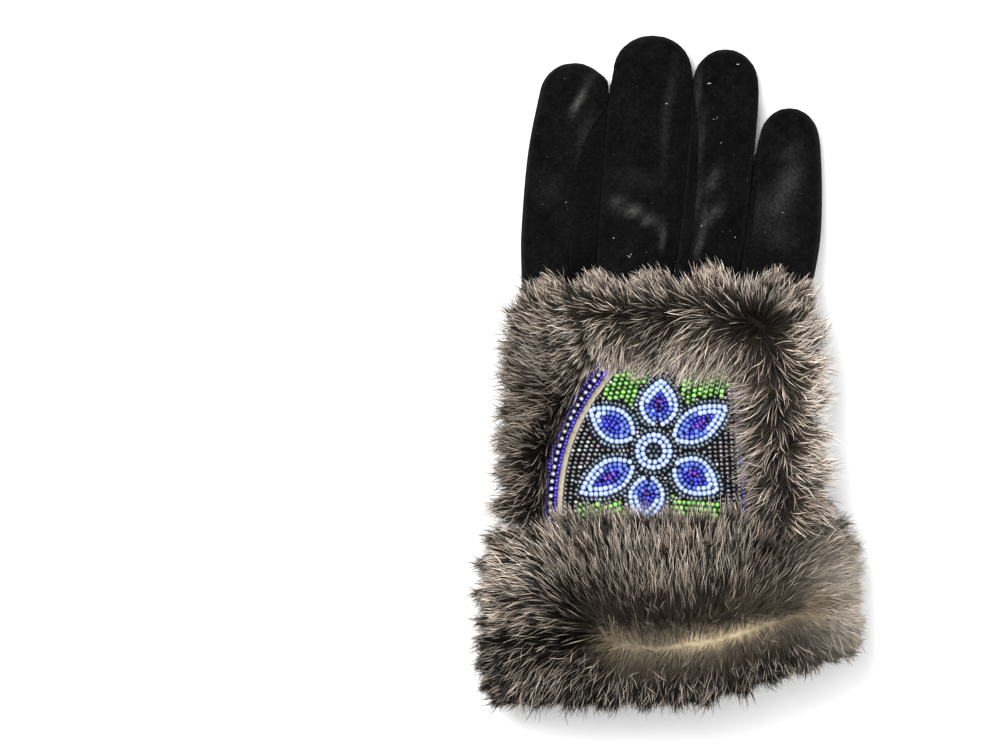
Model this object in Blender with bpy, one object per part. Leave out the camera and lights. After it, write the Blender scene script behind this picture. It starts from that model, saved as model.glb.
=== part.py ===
"""A right-hand suede glove with a beaded back and a fur gauntlet, lying on its palm.

Units are metres. +Y points to the fingertips and +Z up, and the thumb is folded flat under the palm.
While the pieces are made, X runs from the middle of the knuckles, Y from the line of the finger
crotches and Z from the surface that the glove lies on. At the end the whole glove is moved so that
the origin is the middle of its footprint.
"""

import math
from collections import namedtuple

import bmesh
import bpy
from mathutils import Vector
from mathutils.bvhtree import BVHTree

MM = 0.001

# Suede hand
HAND_WIDTH = 104 * MM  # across the knuckles
BODY_LENGTH = 143 * MM  # finger crotches to the cuff's edge
INDEX_LENGTH = 81.8 * MM  # crotch line to fingertip
MIDDLE_LENGTH = 91.8 * MM
RING_LENGTH = 86.8 * MM
LITTLE_LENGTH = 65.4 * MM
SUEDE = 1.5 * MM  # leather thickness
ROOT_DEPTH = 16 * MM  # top to bottom at the finger crotches
TIP_DEPTH = 12.5 * MM  # top to bottom where a fingertip starts to round off
CUFF_DEPTH = 21 * MM  # top to bottom at the cuff's edge
TIP_ROUND = 13.5 * MM  # length over which a fingertip rounds off
SLOT = 0.8 * MM  # air between two fingers
SEAM_GAP = 0.35 * MM  # between sewn pieces
HEM_RISE = 17 * MM  # how much higher the cuff's edge is at the little finger's side
HEM_LEVEL = 0.53  # share of the hand's width over which the edge runs level

# Thumb
THUMB_LENGTH = 76 * MM
THUMB_WIDTH = 27 * MM
THUMB_DEPTH = 9 * MM  # folded flat
THUMB_LEAN = 61  # degrees from +X to the thumb's tip
THUMB_BASE_X = -33 * MM
THUMB_BASE_Y = -72 * MM
THUMB_HOLE_LENGTH = 34 * MM
THUMB_HOLE_WIDTH = 20 * MM
PALM_REST = THUMB_DEPTH + SEAM_GAP  # height of the palm's underside, which lies on the thumb

# Beaded panel
PANEL_WIDTH = 77.2 * MM  # along its lower edge
PANEL_TOP_Y = -0.168 * BODY_LENGTH
PANEL_LOW_Y = -0.587 * BODY_LENGTH
PANEL_HEIGHT = PANEL_TOP_Y - PANEL_LOW_Y
PANEL_SIDE_LEAN = 3.0 * MM  # how far the little finger's side leans in over its height
PANEL_THUMB_BOW = 22.4 * MM  # how far the thumb's side curves in over its height
PANEL_BOW_POWER = 2.45  # how late that curve sets in
PANEL_X = -5.3 * MM  # middle of its lower edge
PANEL_BEND_X = 12 * MM  # spacing of the folds that bend it over the hand
PANEL_BEND_Y = 20 * MM
HIDE = 1.2 * MM
BEAD_DEPTH = 2.1 * MM
GROUND_FLOOR = 0.6 * MM  # depth of the ground that runs on under the flower and leaves
EDGING_WIDTH = 5.2 * MM
EDGING_DEPTH = 2.4 * MM
HIDE_STRIP = 1.9 * MM  # bare hide between the edging and the bead field
FLOWER_X = -4 * MM
FLOWER_Y = -0.409 * BODY_LENGTH
FLOWER_CENTRE = 8.6 * MM  # radius of the round centre with its dark ring
PETAL_LENGTH = 20 * MM
PETAL_WIDTH = 16 * MM
LEAF_LENGTH = 26 * MM
LEAF_WIDTH = 19 * MM
BEAD_GAP = 0.35 * MM  # between two patches of beads

# Fur
PELT = 1.5 * MM  # skin that carries the fur
PELT_GAP = 0.9 * MM  # between the cuff and the skin round it
FRAME_PUFF = 7 * MM  # fur above the skin round the panel
FRAME_TOP_Y = -0.01 * BODY_LENGTH
FRAME_CORNER = 9 * MM  # cut off its two corners at the knuckles
FRAME_MARGIN = 0.4 * MM  # from the skin's outer edge to the hand's edge
FRAME_CLEARANCE = 1.6 * MM  # from the skin's inner edge to the panel
CUFF_PUFF = 6 * MM
WRIST_BAND_LENGTH = 0.238 * BODY_LENGTH
HEM_OVERHANG = 4 * MM  # fur past the cuff's edge
HEM_BAND_LENGTH = 0.14 * BODY_LENGTH  # on the cuff
LOCK_LENGTH = 7.5 * MM
LOCK_TIP = 0.16  # width of a lock's tip as a share of its root

SIDE_ROUNDNESS = 2.6  # exponent of the fingers' rounded sections
BODY_ROUNDNESS = 3.0
FLATTENED = 1.15  # how much the lower half is pressed flat where it lies
SIDE_SEAM = 12  # degrees above or below the side of a finger
ROOT_REACH = 8 * MM  # length at a finger's root where its seams run aslant
ROOT_SEAM_SHARE = 1.5  # widening of the seam's gap there
ROOT_OPENING = 0.5  # share of a top seam's full height at the crotch
FINGER_STEPS = 5  # faces across one panel of a finger

# Edges are shares of HAND_WIDTH from the index finger's side, along is a share of the finger's length
# and depth of the way from ROOT_DEPTH to TIP_DEPTH.
FingerRow = namedtuple("FingerRow", "along left right depth")
Finger = namedtuple("Finger", "name length left_seam right_seam rows")
OUTSEAM = 0

FINGERS = (
    Finger("index", INDEX_LENGTH, OUTSEAM, 84, (
        FingerRow(0.00, 0.000, 0.259, 0.0),
        FingerRow(0.04, 0.001, 0.260, 0.0),
        FingerRow(0.09, 0.002, 0.262, 0.1),
        FingerRow(0.38, 0.014, 0.280, 0.5),
        FingerRow(0.66, 0.035, 0.299, 0.8),
        FingerRow(0.835, 0.068, 0.310, 1.0),
    )),
    Finger("middle", MIDDLE_LENGTH, SIDE_SEAM, SIDE_SEAM, (
        FingerRow(0.00, 0.259, 0.528, 0.0),
        FingerRow(0.04, 0.261, 0.532, 0.0),
        FingerRow(0.09, 0.263, 0.537, 0.1),
        FingerRow(0.38, 0.284, 0.571, 0.5),
        FingerRow(0.68, 0.303, 0.589, 0.8),
        FingerRow(0.853, 0.322, 0.602, 1.0),
    )),
    Finger("ring", RING_LENGTH, 61, SIDE_SEAM, (
        FingerRow(0.00, 0.528, 0.756, 0.0),
        FingerRow(0.04, 0.533, 0.759, 0.0),
        FingerRow(0.09, 0.538, 0.763, 0.1),
        FingerRow(0.38, 0.572, 0.793, 0.5),
        FingerRow(0.68, 0.590, 0.820, 0.8),
        FingerRow(0.844, 0.604, 0.832, 1.0),
    )),
    Finger("little", LITTLE_LENGTH, 48, OUTSEAM, (
        FingerRow(0.00, 0.756, 1.000, 0.0),
        FingerRow(0.04, 0.757, 1.006, 0.0),
        FingerRow(0.09, 0.759, 1.014, 0.1),
        FingerRow(0.38, 0.777, 1.044, 0.5),
        FingerRow(0.62, 0.803, 1.048, 0.8),
        FingerRow(0.794, 0.836, 1.043, 1.0),
    )),
)
# Where the crotch row runs at the five edges of the fingers, as shares of HAND_WIDTH from the crotch line.
CROTCH_ROW = (-0.035, 0.010, 0.000, -0.045, -0.105)

# Along is a share of BODY_LENGTH from the crotches. Depth is the way from ROOT_DEPTH to CUFF_DEPTH.
BodyRow = namedtuple("BodyRow", "along left right depth")
BODY_ROWS = (
    BodyRow(0.00, 0.000, 1.000, 0.00),
    BodyRow(0.14, 0.004, 0.985, 0.35),
    BodyRow(0.42, -0.008, 0.972, 0.55),
    BodyRow(0.70, -0.012, 1.040, 0.75),
    BodyRow(1.00, -0.017, 1.080, 1.00),
)
BODY_STATIONS = (0.0, 0.05, 0.11, 0.17, 0.28, 0.42, 0.60, 0.80, 1.0)
SCALLOP_END = 0.17  # share of the body's length over which the knuckles' valleys fade out

# A fingertip's rounding: degrees round the cap, and the height of its side seam in degrees.
CapRow = namedtuple("CapRow", "turn seam")
CAP_ROWS = (CapRow(26, 11), CapRow(48, 8), CapRow(68, 0), CapRow(90, 0))
CAP_ROUNDNESS = 2.2
CAP_BLUNTNESS = 0.22  # least width of the fingertip's end

# Petals of the flower: degrees round it, and shares of PETAL_LENGTH and PETAL_WIDTH.
Petal = namedtuple("Petal", "turn length width")
PETALS = (
    Petal(85, 0.96, 1.00),
    Petal(144, 1.01, 0.98),
    Petal(210, 1.17, 0.92),
    Petal(262, 0.94, 0.95),
    Petal(328, 1.01, 1.00),
    Petal(31, 1.20, 0.92),
)
# Leaves behind the flower: degrees round it, and the distance of the leaf's middle in LEAF_LENGTH.
Leaf = namedtuple("Leaf", "turn reach")
LEAVES = (Leaf(55, 1.14), Leaf(112, 1.02), Leaf(230, 1.02), Leaf(303, 0.95))

SUEDE_COLOUR = (0.012, 0.012, 0.014)
FUR_COLOUR = (0.075, 0.055, 0.042)
HIDE_COLOUR = (0.62, 0.52, 0.38)
GROUND_COLOUR = (0.02, 0.022, 0.03)
PETAL_COLOUR = (0.50, 0.58, 0.90)
LEAF_COLOUR = (0.16, 0.45, 0.05)
EDGING_COLOUR = (0.05, 0.02, 0.55)


def clear_scene():
    for old in list(bpy.data.objects):
        bpy.data.objects.remove(old)


def new_material(name, colour, roughness, metallic=0.0):
    material = bpy.data.materials.new(name)
    material.use_nodes = True
    shader = material.node_tree.nodes["Principled BSDF"]
    shader.inputs["Base Color"].default_value = (*colour, 1.0)
    shader.inputs["Roughness"].default_value = roughness
    shader.inputs["Metallic"].default_value = metallic
    return material


def new_object(name, mesh, material, collection):
    made = bpy.data.objects.new(name, mesh)
    if material:
        mesh.materials.append(material)
    collection.objects.link(made)
    return made


def mix(low, high, share):
    return low + (high - low) * share


def ease(share):
    """A smooth step from 0 to 1."""
    share = min(1.0, max(0.0, share))
    return share * share * (3 - 2 * share)


def read_row(rows, along, column):
    """A table's column at a place between its rows."""
    for low, high in zip(rows, rows[1:]):
        if along <= high.along:
            share = (along - low.along) / (high.along - low.along)
            return mix(getattr(low, column), getattr(high, column), share)
    return getattr(rows[-1], column)


def rounded(value, roundness):
    """A sine or cosine bent so that a circle becomes a rounded rectangle."""
    return math.copysign(abs(value) ** (2 / roundness), value)


def edge_x(share):
    return (share - 0.5) * HAND_WIDTH


Section = namedtuple("Section", "middle half_width half_depth mid_height end left_y right_y seams")


def crotch_y(finger_number, side):
    return CROTCH_ROW[finger_number + side] * HAND_WIDTH


def finger_sections(number):
    """The sections of a finger from its crotch to its tip, each with its seams' heights in degrees."""
    finger = FINGERS[number]
    shaft_end = finger.rows[-1].along
    cap_start = finger.length - TIP_ROUND
    sections = []
    for row in finger.rows:
        left = edge_x(row.left) + (SLOT / 2 if number > 0 else 0)
        right = edge_x(row.right) - (SLOT / 2 if number < len(FINGERS) - 1 else 0)
        reach = row.along / shaft_end
        depth = mix(ROOT_DEPTH, TIP_DEPTH, row.depth)
        rest = PALM_REST * (1 - ease(reach / 0.75)) + SEAM_GAP / 2
        sides = (crotch_y(number, 0), crotch_y(number, 1))
        left_y, right_y = (mix(side, cap_start, reach) for side in sides)
        opening = mix(ROOT_OPENING, 1, ease(reach / 0.11)) * (1 - ease((reach - 0.75) / 0.25))
        seams = tuple(
            seam if seam == OUTSEAM else mix(SIDE_SEAM, seam, opening)
            for seam in (finger.left_seam, finger.right_seam)
        )
        sections.append(Section(
            (left + right) / 2, (right - left) / 2, depth / 2, rest + depth / 2, 0, left_y, right_y, seams
        ))
    shaft = sections[-1]
    for cap in CAP_ROWS:
        turn = math.radians(cap.turn)
        narrow = rounded(math.cos(turn), CAP_ROUNDNESS)
        seams = tuple(min(cap.seam, seam) for seam in (finger.left_seam, finger.right_seam))
        sections.append(Section(
            shaft.middle,
            shaft.half_width * max(narrow, CAP_BLUNTNESS),
            shaft.half_depth * (0 if cap.turn == 90 else narrow),
            shaft.mid_height,
            rounded(math.sin(turn), CAP_ROUNDNESS),
            cap_start,
            cap_start,
            seams,
        ))
    return sections


def section_point(section, degrees, inset, crotch=False):
    """A point round a finger's section: 0 degrees is the little finger's side, 90 the top."""
    turn = math.radians(degrees)
    across = rounded(math.cos(turn), SIDE_ROUNDNESS)
    up = rounded(math.sin(turn), SIDE_ROUNDNESS)
    if up < 0:
        up = max(-1.0, up * FLATTENED)
    depth_share = section.half_depth / (TIP_DEPTH / 2) if section.end else 1.0
    half_depth = max(0.0, section.half_depth - inset * min(1.0, depth_share))
    half_width = section.half_width - inset * (min(1.0, section.half_width / (2 * inset)) if inset else 0)
    y = mix(section.left_y, section.right_y, (across + 1) / 2)
    y += section.end * (TIP_ROUND - inset) - (inset if crotch else 0)
    return Vector((section.middle + half_width * across, y, section.mid_height + half_depth * up))


def body_point(x_share, scallop, side_shift, along, side, inset):
    """A point of the hand's body, on the back (side 1) or palm (side -1), at a knuckle's height scallop."""
    left = edge_x(read_row(BODY_ROWS, along, "left"))
    right = edge_x(read_row(BODY_ROWS, along, "right"))
    depth = mix(ROOT_DEPTH, CUFF_DEPTH, read_row(BODY_ROWS, along, "depth"))
    fade = ease(along / SCALLOP_END)
    across = 2 * x_share - 1
    dome = max(0.0, 1 - abs(across) ** BODY_ROUNDNESS) ** (1 / BODY_ROUNDNESS)
    if side < 0:
        dome = min(1.0, dome * FLATTENED)
    height = mix(scallop, dome, fade) * (depth / 2 - inset)
    x = mix(left, right, x_share) + mix(side_shift, -inset * across, fade)
    return Vector((x, body_y(x_share, along), PALM_REST + depth / 2 + side * height))


def body_y(x_share, along):
    """How far down the hand a point lies, with the cuff's edge rising towards the little finger."""
    rise = max(0.0, (x_share - HEM_LEVEL) / (1 - HEM_LEVEL)) ** 1.2
    edge = -BODY_LENGTH + HEM_RISE * rise * min(1.0, along)
    return mix(crotch_row_y(x_share), edge, min(1.0, along)) - BODY_LENGTH * max(0.0, along - 1)


def crotch_row_y(x_share):
    """The crotch row's place at a share of the hand's width."""
    edges = [finger.rows[0].left for finger in FINGERS] + [FINGERS[-1].rows[0].right]
    for number, (low, high) in enumerate(zip(edges, edges[1:])):
        if x_share <= high or high == edges[-1]:
            share = (x_share - low) / (high - low)
            return mix(CROTCH_ROW[number], CROTCH_ROW[number + 1], share) * HAND_WIDTH
    return 0.0


def panel_turns(section, side):
    """Degrees of a panel's columns across a finger's section, from the index finger's side."""
    left_seam, right_seam = section.seams if side > 0 else (
        min(SIDE_SEAM, seam) for seam in section.seams
    )
    first, last = 180 - left_seam, right_seam
    return [side * mix(first, last, step / FINGER_STEPS) for step in range(FINGER_STEPS + 1)]


def panel_layer(bm, side, inset):
    """One surface of the back or palm panel: grids of vertices for the body and the four fingers."""
    lift = Vector((0, 0, side * SEAM_GAP / 2))
    crotch_columns = []
    finger_grids = []
    for number in range(len(FINGERS)):
        sections = finger_sections(number)
        grid = []
        for row, section in enumerate(sections):
            turns = panel_turns(section, side)
            points = [section_point(section, turn, inset, crotch=row == 0) + lift for turn in turns]
            grid.append([bm.verts.new(point) for point in points])
        root = sections[0]
        for turn in panel_turns(root, side):
            outer = section_point(root, turn, 0)
            inner = section_point(root, turn, inset)
            scallop = abs(outer.z - root.mid_height) / root.half_depth
            crotch_columns.append((outer.x / HAND_WIDTH + 0.5, scallop, inner.x - outer.x))
        finger_grids.append(grid)
    body_grid = [[vert for grid in finger_grids for vert in grid[0]]]
    for along in BODY_STATIONS[1:]:
        row = [body_point(*column, along, side, inset) + lift for column in crotch_columns]
        body_grid.append([bm.verts.new(point) for point in row])
    return body_grid, finger_grids


def quads_between(bm, grid):
    """Faces over a grid of vertices."""
    for low, high in zip(grid, grid[1:]):
        for step in range(len(low) - 1):
            bm.faces.new((low[step], low[step + 1], high[step + 1], high[step]))


def rim_between(bm, outer, inner):
    for step in range(len(outer) - 1):
        bm.faces.new((outer[step], outer[step + 1], inner[step + 1], inner[step]))


def finish_mesh(bm, name, smooth_degrees=35):
    bmesh.ops.recalc_face_normals(bm, faces=bm.faces)
    mesh = bpy.data.meshes.new(name)
    bm.to_mesh(mesh)
    bm.free()
    mesh.shade_smooth()
    mesh.set_sharp_from_angle(angle=math.radians(smooth_degrees))
    return mesh


def hand_panel(name, side, material, collection):
    """The back panel or the palm panel, with its four fingers' halves."""
    bm = bmesh.new()
    layers = [panel_layer(bm, side, inset) for inset in (0, SUEDE)]
    for body_grid, finger_grids in layers:
        quads_between(bm, body_grid)
        for grid in finger_grids:
            quads_between(bm, grid)
    (outer_body, outer_fingers), (inner_body, inner_fingers) = layers
    rim_between(bm, outer_body[-1], inner_body[-1])
    for column in (0, -1):
        rim_between(bm, [row[column] for row in outer_body], [row[column] for row in inner_body])
    for outer, inner in zip(outer_fingers, inner_fingers):
        rim_between(bm, outer[-1], inner[-1])
        for column in (0, -1):
            rim_between(bm, [row[column] for row in outer], [row[column] for row in inner])
    for outer, following, inner, inner_following in zip(
        outer_fingers, outer_fingers[1:], inner_fingers, inner_fingers[1:]
    ):
        slot_end = (outer[0][-1], following[0][0])
        inner_slot_end = (inner[0][-1], inner_following[0][0])
        rim_between(bm, slot_end, inner_slot_end)
    return new_object(name, finish_mesh(bm, name), material, collection)


def turn_for_gap(section, degrees, towards, gap):
    """The degrees to turn to from a seam to leave its gap on both faces of the leather."""
    for tenth in range(1, 900):
        turned = degrees + towards * tenth / 10
        distances = [
            (section_point(section, turned, inset) - section_point(section, degrees, inset)).length
            for inset in (0, SUEDE)
        ]
        if min(distances) >= gap:
            return turned
    return degrees


def fourchette(name, number, material, collection):
    """The side strip between two fingers: up one finger, round the crotch and up the other."""
    steps = 3
    bm = bmesh.new()
    layers = {0: [], SUEDE: []}
    for finger_number, right_side in ((number, True), (number + 1, False)):
        sections = finger_sections(finger_number)
        sections = [s for s in sections if min(s.seams[1 if right_side else 0], SIDE_SEAM) > 0]
        if right_side:
            sections.reverse()
        for section in sections:
            top = section.seams[1 if right_side else 0]
            low = -min(top, SIDE_SEAM)
            if not right_side:
                top, low = 180 - top, 180 - low
            inward = 1 if right_side else -1
            near_root = section.end == 0 and section.left_y - crotch_y(finger_number, 0) < ROOT_REACH
            gap = SEAM_GAP * (ROOT_SEAM_SHARE if near_root else 1)
            top = turn_for_gap(section, top, -inward, gap)
            low = turn_for_gap(section, low, inward, gap)
            root = section.end == 0 and section.left_y == crotch_y(finger_number, 0)
            for inset, grid in layers.items():
                points = [
                    section_point(section, mix(low, top, step / steps), inset, crotch=root)
                    for step in range(steps + 1)
                ]
                grid.append([bm.verts.new(point) for point in points])
    outer, inner = layers[0], layers[SUEDE]
    quads_between(bm, outer)
    quads_between(bm, inner)
    for row in (0, -1):
        rim_between(bm, outer[row], inner[row])
    for column in (0, -1):
        rim_between(bm, [row[column] for row in outer], [row[column] for row in inner])
    return new_object(name, finish_mesh(bm, name), material, collection)


def loft_closed(name, rings):
    """A closed mesh through rings of points, with a flat face over each end."""
    bm = bmesh.new()
    loops = [[bm.verts.new(point) for point in ring] for ring in rings]
    for low, high in zip(loops, loops[1:]):
        for step in range(len(low)):
            after = (step + 1) % len(low)
            bm.faces.new((low[step], low[after], high[after], high[step]))
    bm.faces.new(loops[0])
    bm.faces.new(loops[-1])
    return finish_mesh(bm, name)


def thumb_rings(inset):
    """Sections of the folded thumb from its base to its tip."""
    turns = (90, 62, 32, 0)
    stations = [(-1, turn) for turn in turns] + [(1, turn) for turn in reversed(turns)]
    lean = math.radians(THUMB_LEAN)
    along_thumb = Vector((math.cos(lean), math.sin(lean), 0))
    across_thumb = Vector((math.sin(lean), -math.cos(lean), 0))
    base = Vector((THUMB_BASE_X, THUMB_BASE_Y, THUMB_DEPTH / 2))
    around = 12
    rings = []
    for end, turn in stations:
        narrow = max(rounded(math.cos(math.radians(turn)), CAP_ROUNDNESS), CAP_BLUNTNESS)
        cap = rounded(math.sin(math.radians(turn)), CAP_ROUNDNESS)
        reach = mix(TIP_ROUND, THUMB_LENGTH - TIP_ROUND, (end + 1) / 2) + end * cap * (TIP_ROUND - inset)
        taper = 1.0 if end < 0 else 0.93
        half_width = (THUMB_WIDTH / 2 * taper - inset) * narrow
        half_depth = (THUMB_DEPTH / 2 - inset) * max(narrow, 0.45)
        ring = []
        for step in range(around):
            angle = 2 * math.pi * (step + 0.5) / around
            across = rounded(math.cos(angle), SIDE_ROUNDNESS)
            up = max(-1.0, min(1.0, FLATTENED * rounded(math.sin(angle), SIDE_ROUNDNESS)))
            point = base + along_thumb * reach + across_thumb * half_width * across
            ring.append(point + Vector((0, 0, half_depth * up)))
        rings.append(ring)
    return rings


def thumb_hole_cutter(collection):
    """An upright oval bar through the thumb's upper wall and the palm's lower one."""
    bpy.ops.mesh.primitive_cylinder_add(vertices=20, radius=0.5, depth=1)
    cutter = bpy.context.active_object
    cutter.name = "thumb_hole_cutter"
    low = THUMB_DEPTH / 2
    high = PALM_REST + 3 * SUEDE
    lean = math.radians(THUMB_LEAN)
    reach = TIP_ROUND + THUMB_HOLE_LENGTH / 2 - SUEDE
    for vert in cutter.data.vertices:
        along = vert.co.x * THUMB_HOLE_LENGTH + reach
        across = vert.co.y * THUMB_HOLE_WIDTH
        height = mix(low, high, vert.co.z + 0.5)
        x = THUMB_BASE_X + along * math.cos(lean) - across * math.sin(lean)
        y = THUMB_BASE_Y + along * math.sin(lean) + across * math.cos(lean)
        vert.co = (x, y, height)
    for owner in list(cutter.users_collection):
        owner.objects.unlink(cutter)
    collection.objects.link(cutter)
    return hide_guide(cutter)


def hide_guide(guide):
    guide.hide_render = True
    guide.display_type = "WIRE"
    return guide


def cut(target, cutter):
    modifier = target.modifiers.new("cut_" + cutter.name, "BOOLEAN")
    modifier.operation = "DIFFERENCE"
    modifier.object = cutter


def thumb(material, collection, cutters, hole):
    made = new_object("thumb", loft_closed("thumb", thumb_rings(0)), material, collection)
    hollow = new_object("thumb_hollow", loft_closed("thumb_hollow", thumb_rings(SUEDE)), None, cutters)
    cut(made, hide_guide(hollow))
    cut(made, hole)
    return made


def evaluated_mesh(source):
    """A plain mesh of an object with its modifiers worked out."""
    graph = bpy.context.evaluated_depsgraph_get()
    graph.update()
    return bpy.data.meshes.new_from_object(source.evaluated_get(graph), depsgraph=graph)


class Drape:
    """Height of the hand's back, for what is laid on it."""

    def __init__(self, back):
        mesh = evaluated_mesh(back)
        verts = [vert.co.copy() for vert in mesh.vertices]
        self.tree = BVHTree.FromPolygons(verts, [tuple(face.vertices) for face in mesh.polygons])
        bpy.data.meshes.remove(mesh)

    def height(self, x, y):
        hit = self.tree.ray_cast(Vector((x, y, 1)), Vector((0, 0, -1)))[0]
        return hit.z if hit else PALM_REST + ROOT_DEPTH / 2

    def bridged_height(self, x, y, reach):
        """The highest point within reach, as stiff skin spans the valleys."""
        steps = (-reach, -reach / 2, 0, reach / 2, reach)
        return max(self.height(x + dx, y + dy) for dx in steps for dy in steps)


def panel_edge(share, side):
    """The panel's edge on the thumb's side (-1) or little finger's side (1), share 0 at the bottom."""
    if side < 0:
        x = PANEL_X - PANEL_WIDTH / 2 + PANEL_THUMB_BOW * share**PANEL_BOW_POWER
    else:
        x = PANEL_X + PANEL_WIDTH / 2 - PANEL_SIDE_LEAN * share
    return Vector((x, PANEL_TOP_Y - PANEL_HEIGHT * (1 - share)))


def inset_edge(side, inset, steps=7):
    """Points up one side of the panel, moved in from its edge by inset."""
    points = []
    for step in range(steps + 1):
        share = step / steps
        before = panel_edge(max(0.0, share - 0.01), side)
        along = (panel_edge(share + 0.01, side) - before).normalized()
        inward = Vector((along.y, -along.x)) if side < 0 else Vector((-along.y, along.x))
        points.append(panel_edge(share, side) + inward * inset)
    return points


def band_outline(side, low_inset, high_inset):
    return inset_edge(side, low_inset) + inset_edge(side, high_inset)[::-1]


def field_outline(inset):
    return inset_edge(1, inset) + inset_edge(-1, inset)[::-1]


def petal_outline(petal, grow=0.0, steps=7):
    """A pointed oval from the flower's centre outwards."""
    turn = math.radians(petal.turn)
    outward = Vector((math.cos(turn), math.sin(turn)))
    sideways = Vector((-outward.y, outward.x))
    centre = Vector((FLOWER_X, FLOWER_Y))
    start = FLOWER_CENTRE + BEAD_GAP - grow
    length = PETAL_LENGTH * petal.length + 2 * grow
    half_width = PETAL_WIDTH * petal.width / 2 + grow
    sides = ([], [])
    for step in range(1, steps):
        share = step / steps
        width = half_width * math.sin(math.pi * share**0.85) ** 0.75
        place = centre + outward * (start + length * share)
        sides[0].append(place + sideways * width)
        sides[1].append(place - sideways * width)
    root, tip = centre + outward * start, centre + outward * (start + length)
    root_width = sideways * 0.22 * half_width
    return [root - root_width, root + root_width] + sides[0] + [tip] + sides[1][::-1]


def leaf_outline(leaf, grow=0.0, steps=12):
    turn = math.radians(leaf.turn)
    outward = Vector((math.cos(turn), math.sin(turn)))
    sideways = Vector((-outward.y, outward.x))
    middle = Vector((FLOWER_X, FLOWER_Y)) + outward * LEAF_LENGTH * leaf.reach
    points = []
    for step in range(steps):
        angle = 2 * math.pi * step / steps
        along = (LEAF_LENGTH / 2 + grow) * math.cos(angle)
        points.append(middle + outward * along + sideways * (LEAF_WIDTH / 2 + grow) * math.sin(angle))
    return points


def circle_outline(radius, steps=16):
    angles = [2 * math.pi * step / steps for step in range(steps)]
    return [Vector((FLOWER_X + radius * math.cos(a), FLOWER_Y + radius * math.sin(a))) for a in angles]


def flat_slab(name, outline, low, high, material, collection):
    """A flat outline made solid between two heights."""
    curve = bpy.data.curves.new(name, "CURVE")
    curve.dimensions = "2D"
    curve.fill_mode = "BOTH"
    curve.extrude = (high - low) / 2
    spline = curve.splines.new("POLY")
    spline.points.add(len(outline) - 1)
    for point, place in zip(spline.points, outline):
        point.co = (place.x, place.y, 0, 1)
    spline.use_cyclic_u = True
    drawn = bpy.data.objects.new(name + "_outline", curve)
    collection.objects.link(drawn)
    mesh = evaluated_mesh(drawn)
    bpy.data.objects.remove(drawn)
    bm = bmesh.new()
    bm.from_mesh(mesh)
    bpy.data.meshes.remove(mesh)
    bmesh.ops.remove_doubles(bm, verts=bm.verts, dist=1e-6)
    bmesh.ops.translate(bm, verts=bm.verts, vec=(0, 0, (low + high) / 2))
    return new_object(name, finish_mesh(bm, name), material, collection)


def lay_on_back(slab, drape):
    """Cuts a flat slab into strips and bends it over the hand's back."""
    mesh = evaluated_mesh(slab)
    slab.modifiers.clear()
    bm = bmesh.new()
    bm.from_mesh(mesh)
    bpy.data.meshes.remove(mesh)
    for axis, spacing in enumerate((PANEL_BEND_X, PANEL_BEND_Y)):
        low = min(vert.co[axis] for vert in bm.verts)
        high = max(vert.co[axis] for vert in bm.verts)
        count = max(1, round((high - low) / spacing))
        normal = Vector((1, 0, 0)) if axis == 0 else Vector((0, 1, 0))
        for step in range(1, count):
            place = normal * mix(low, high, step / count)
            parts = bm.verts[:] + bm.edges[:] + bm.faces[:]
            bmesh.ops.bisect_plane(bm, geom=parts, plane_co=place, plane_no=normal, dist=1e-7)
    for vert in bm.verts:
        vert.co.z += drape.bridged_height(vert.co.x, vert.co.y, 1.5 * MM)
    bmesh.ops.dissolve_degenerate(bm, dist=1e-6, edges=bm.edges)
    bmesh.ops.triangulate(bm, faces=bm.faces)
    old = slab.data
    slab.data = finish_mesh(bm, slab.name, 50)
    for material in old.materials:
        slab.data.materials.append(material)
    bpy.data.meshes.remove(old)


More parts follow.
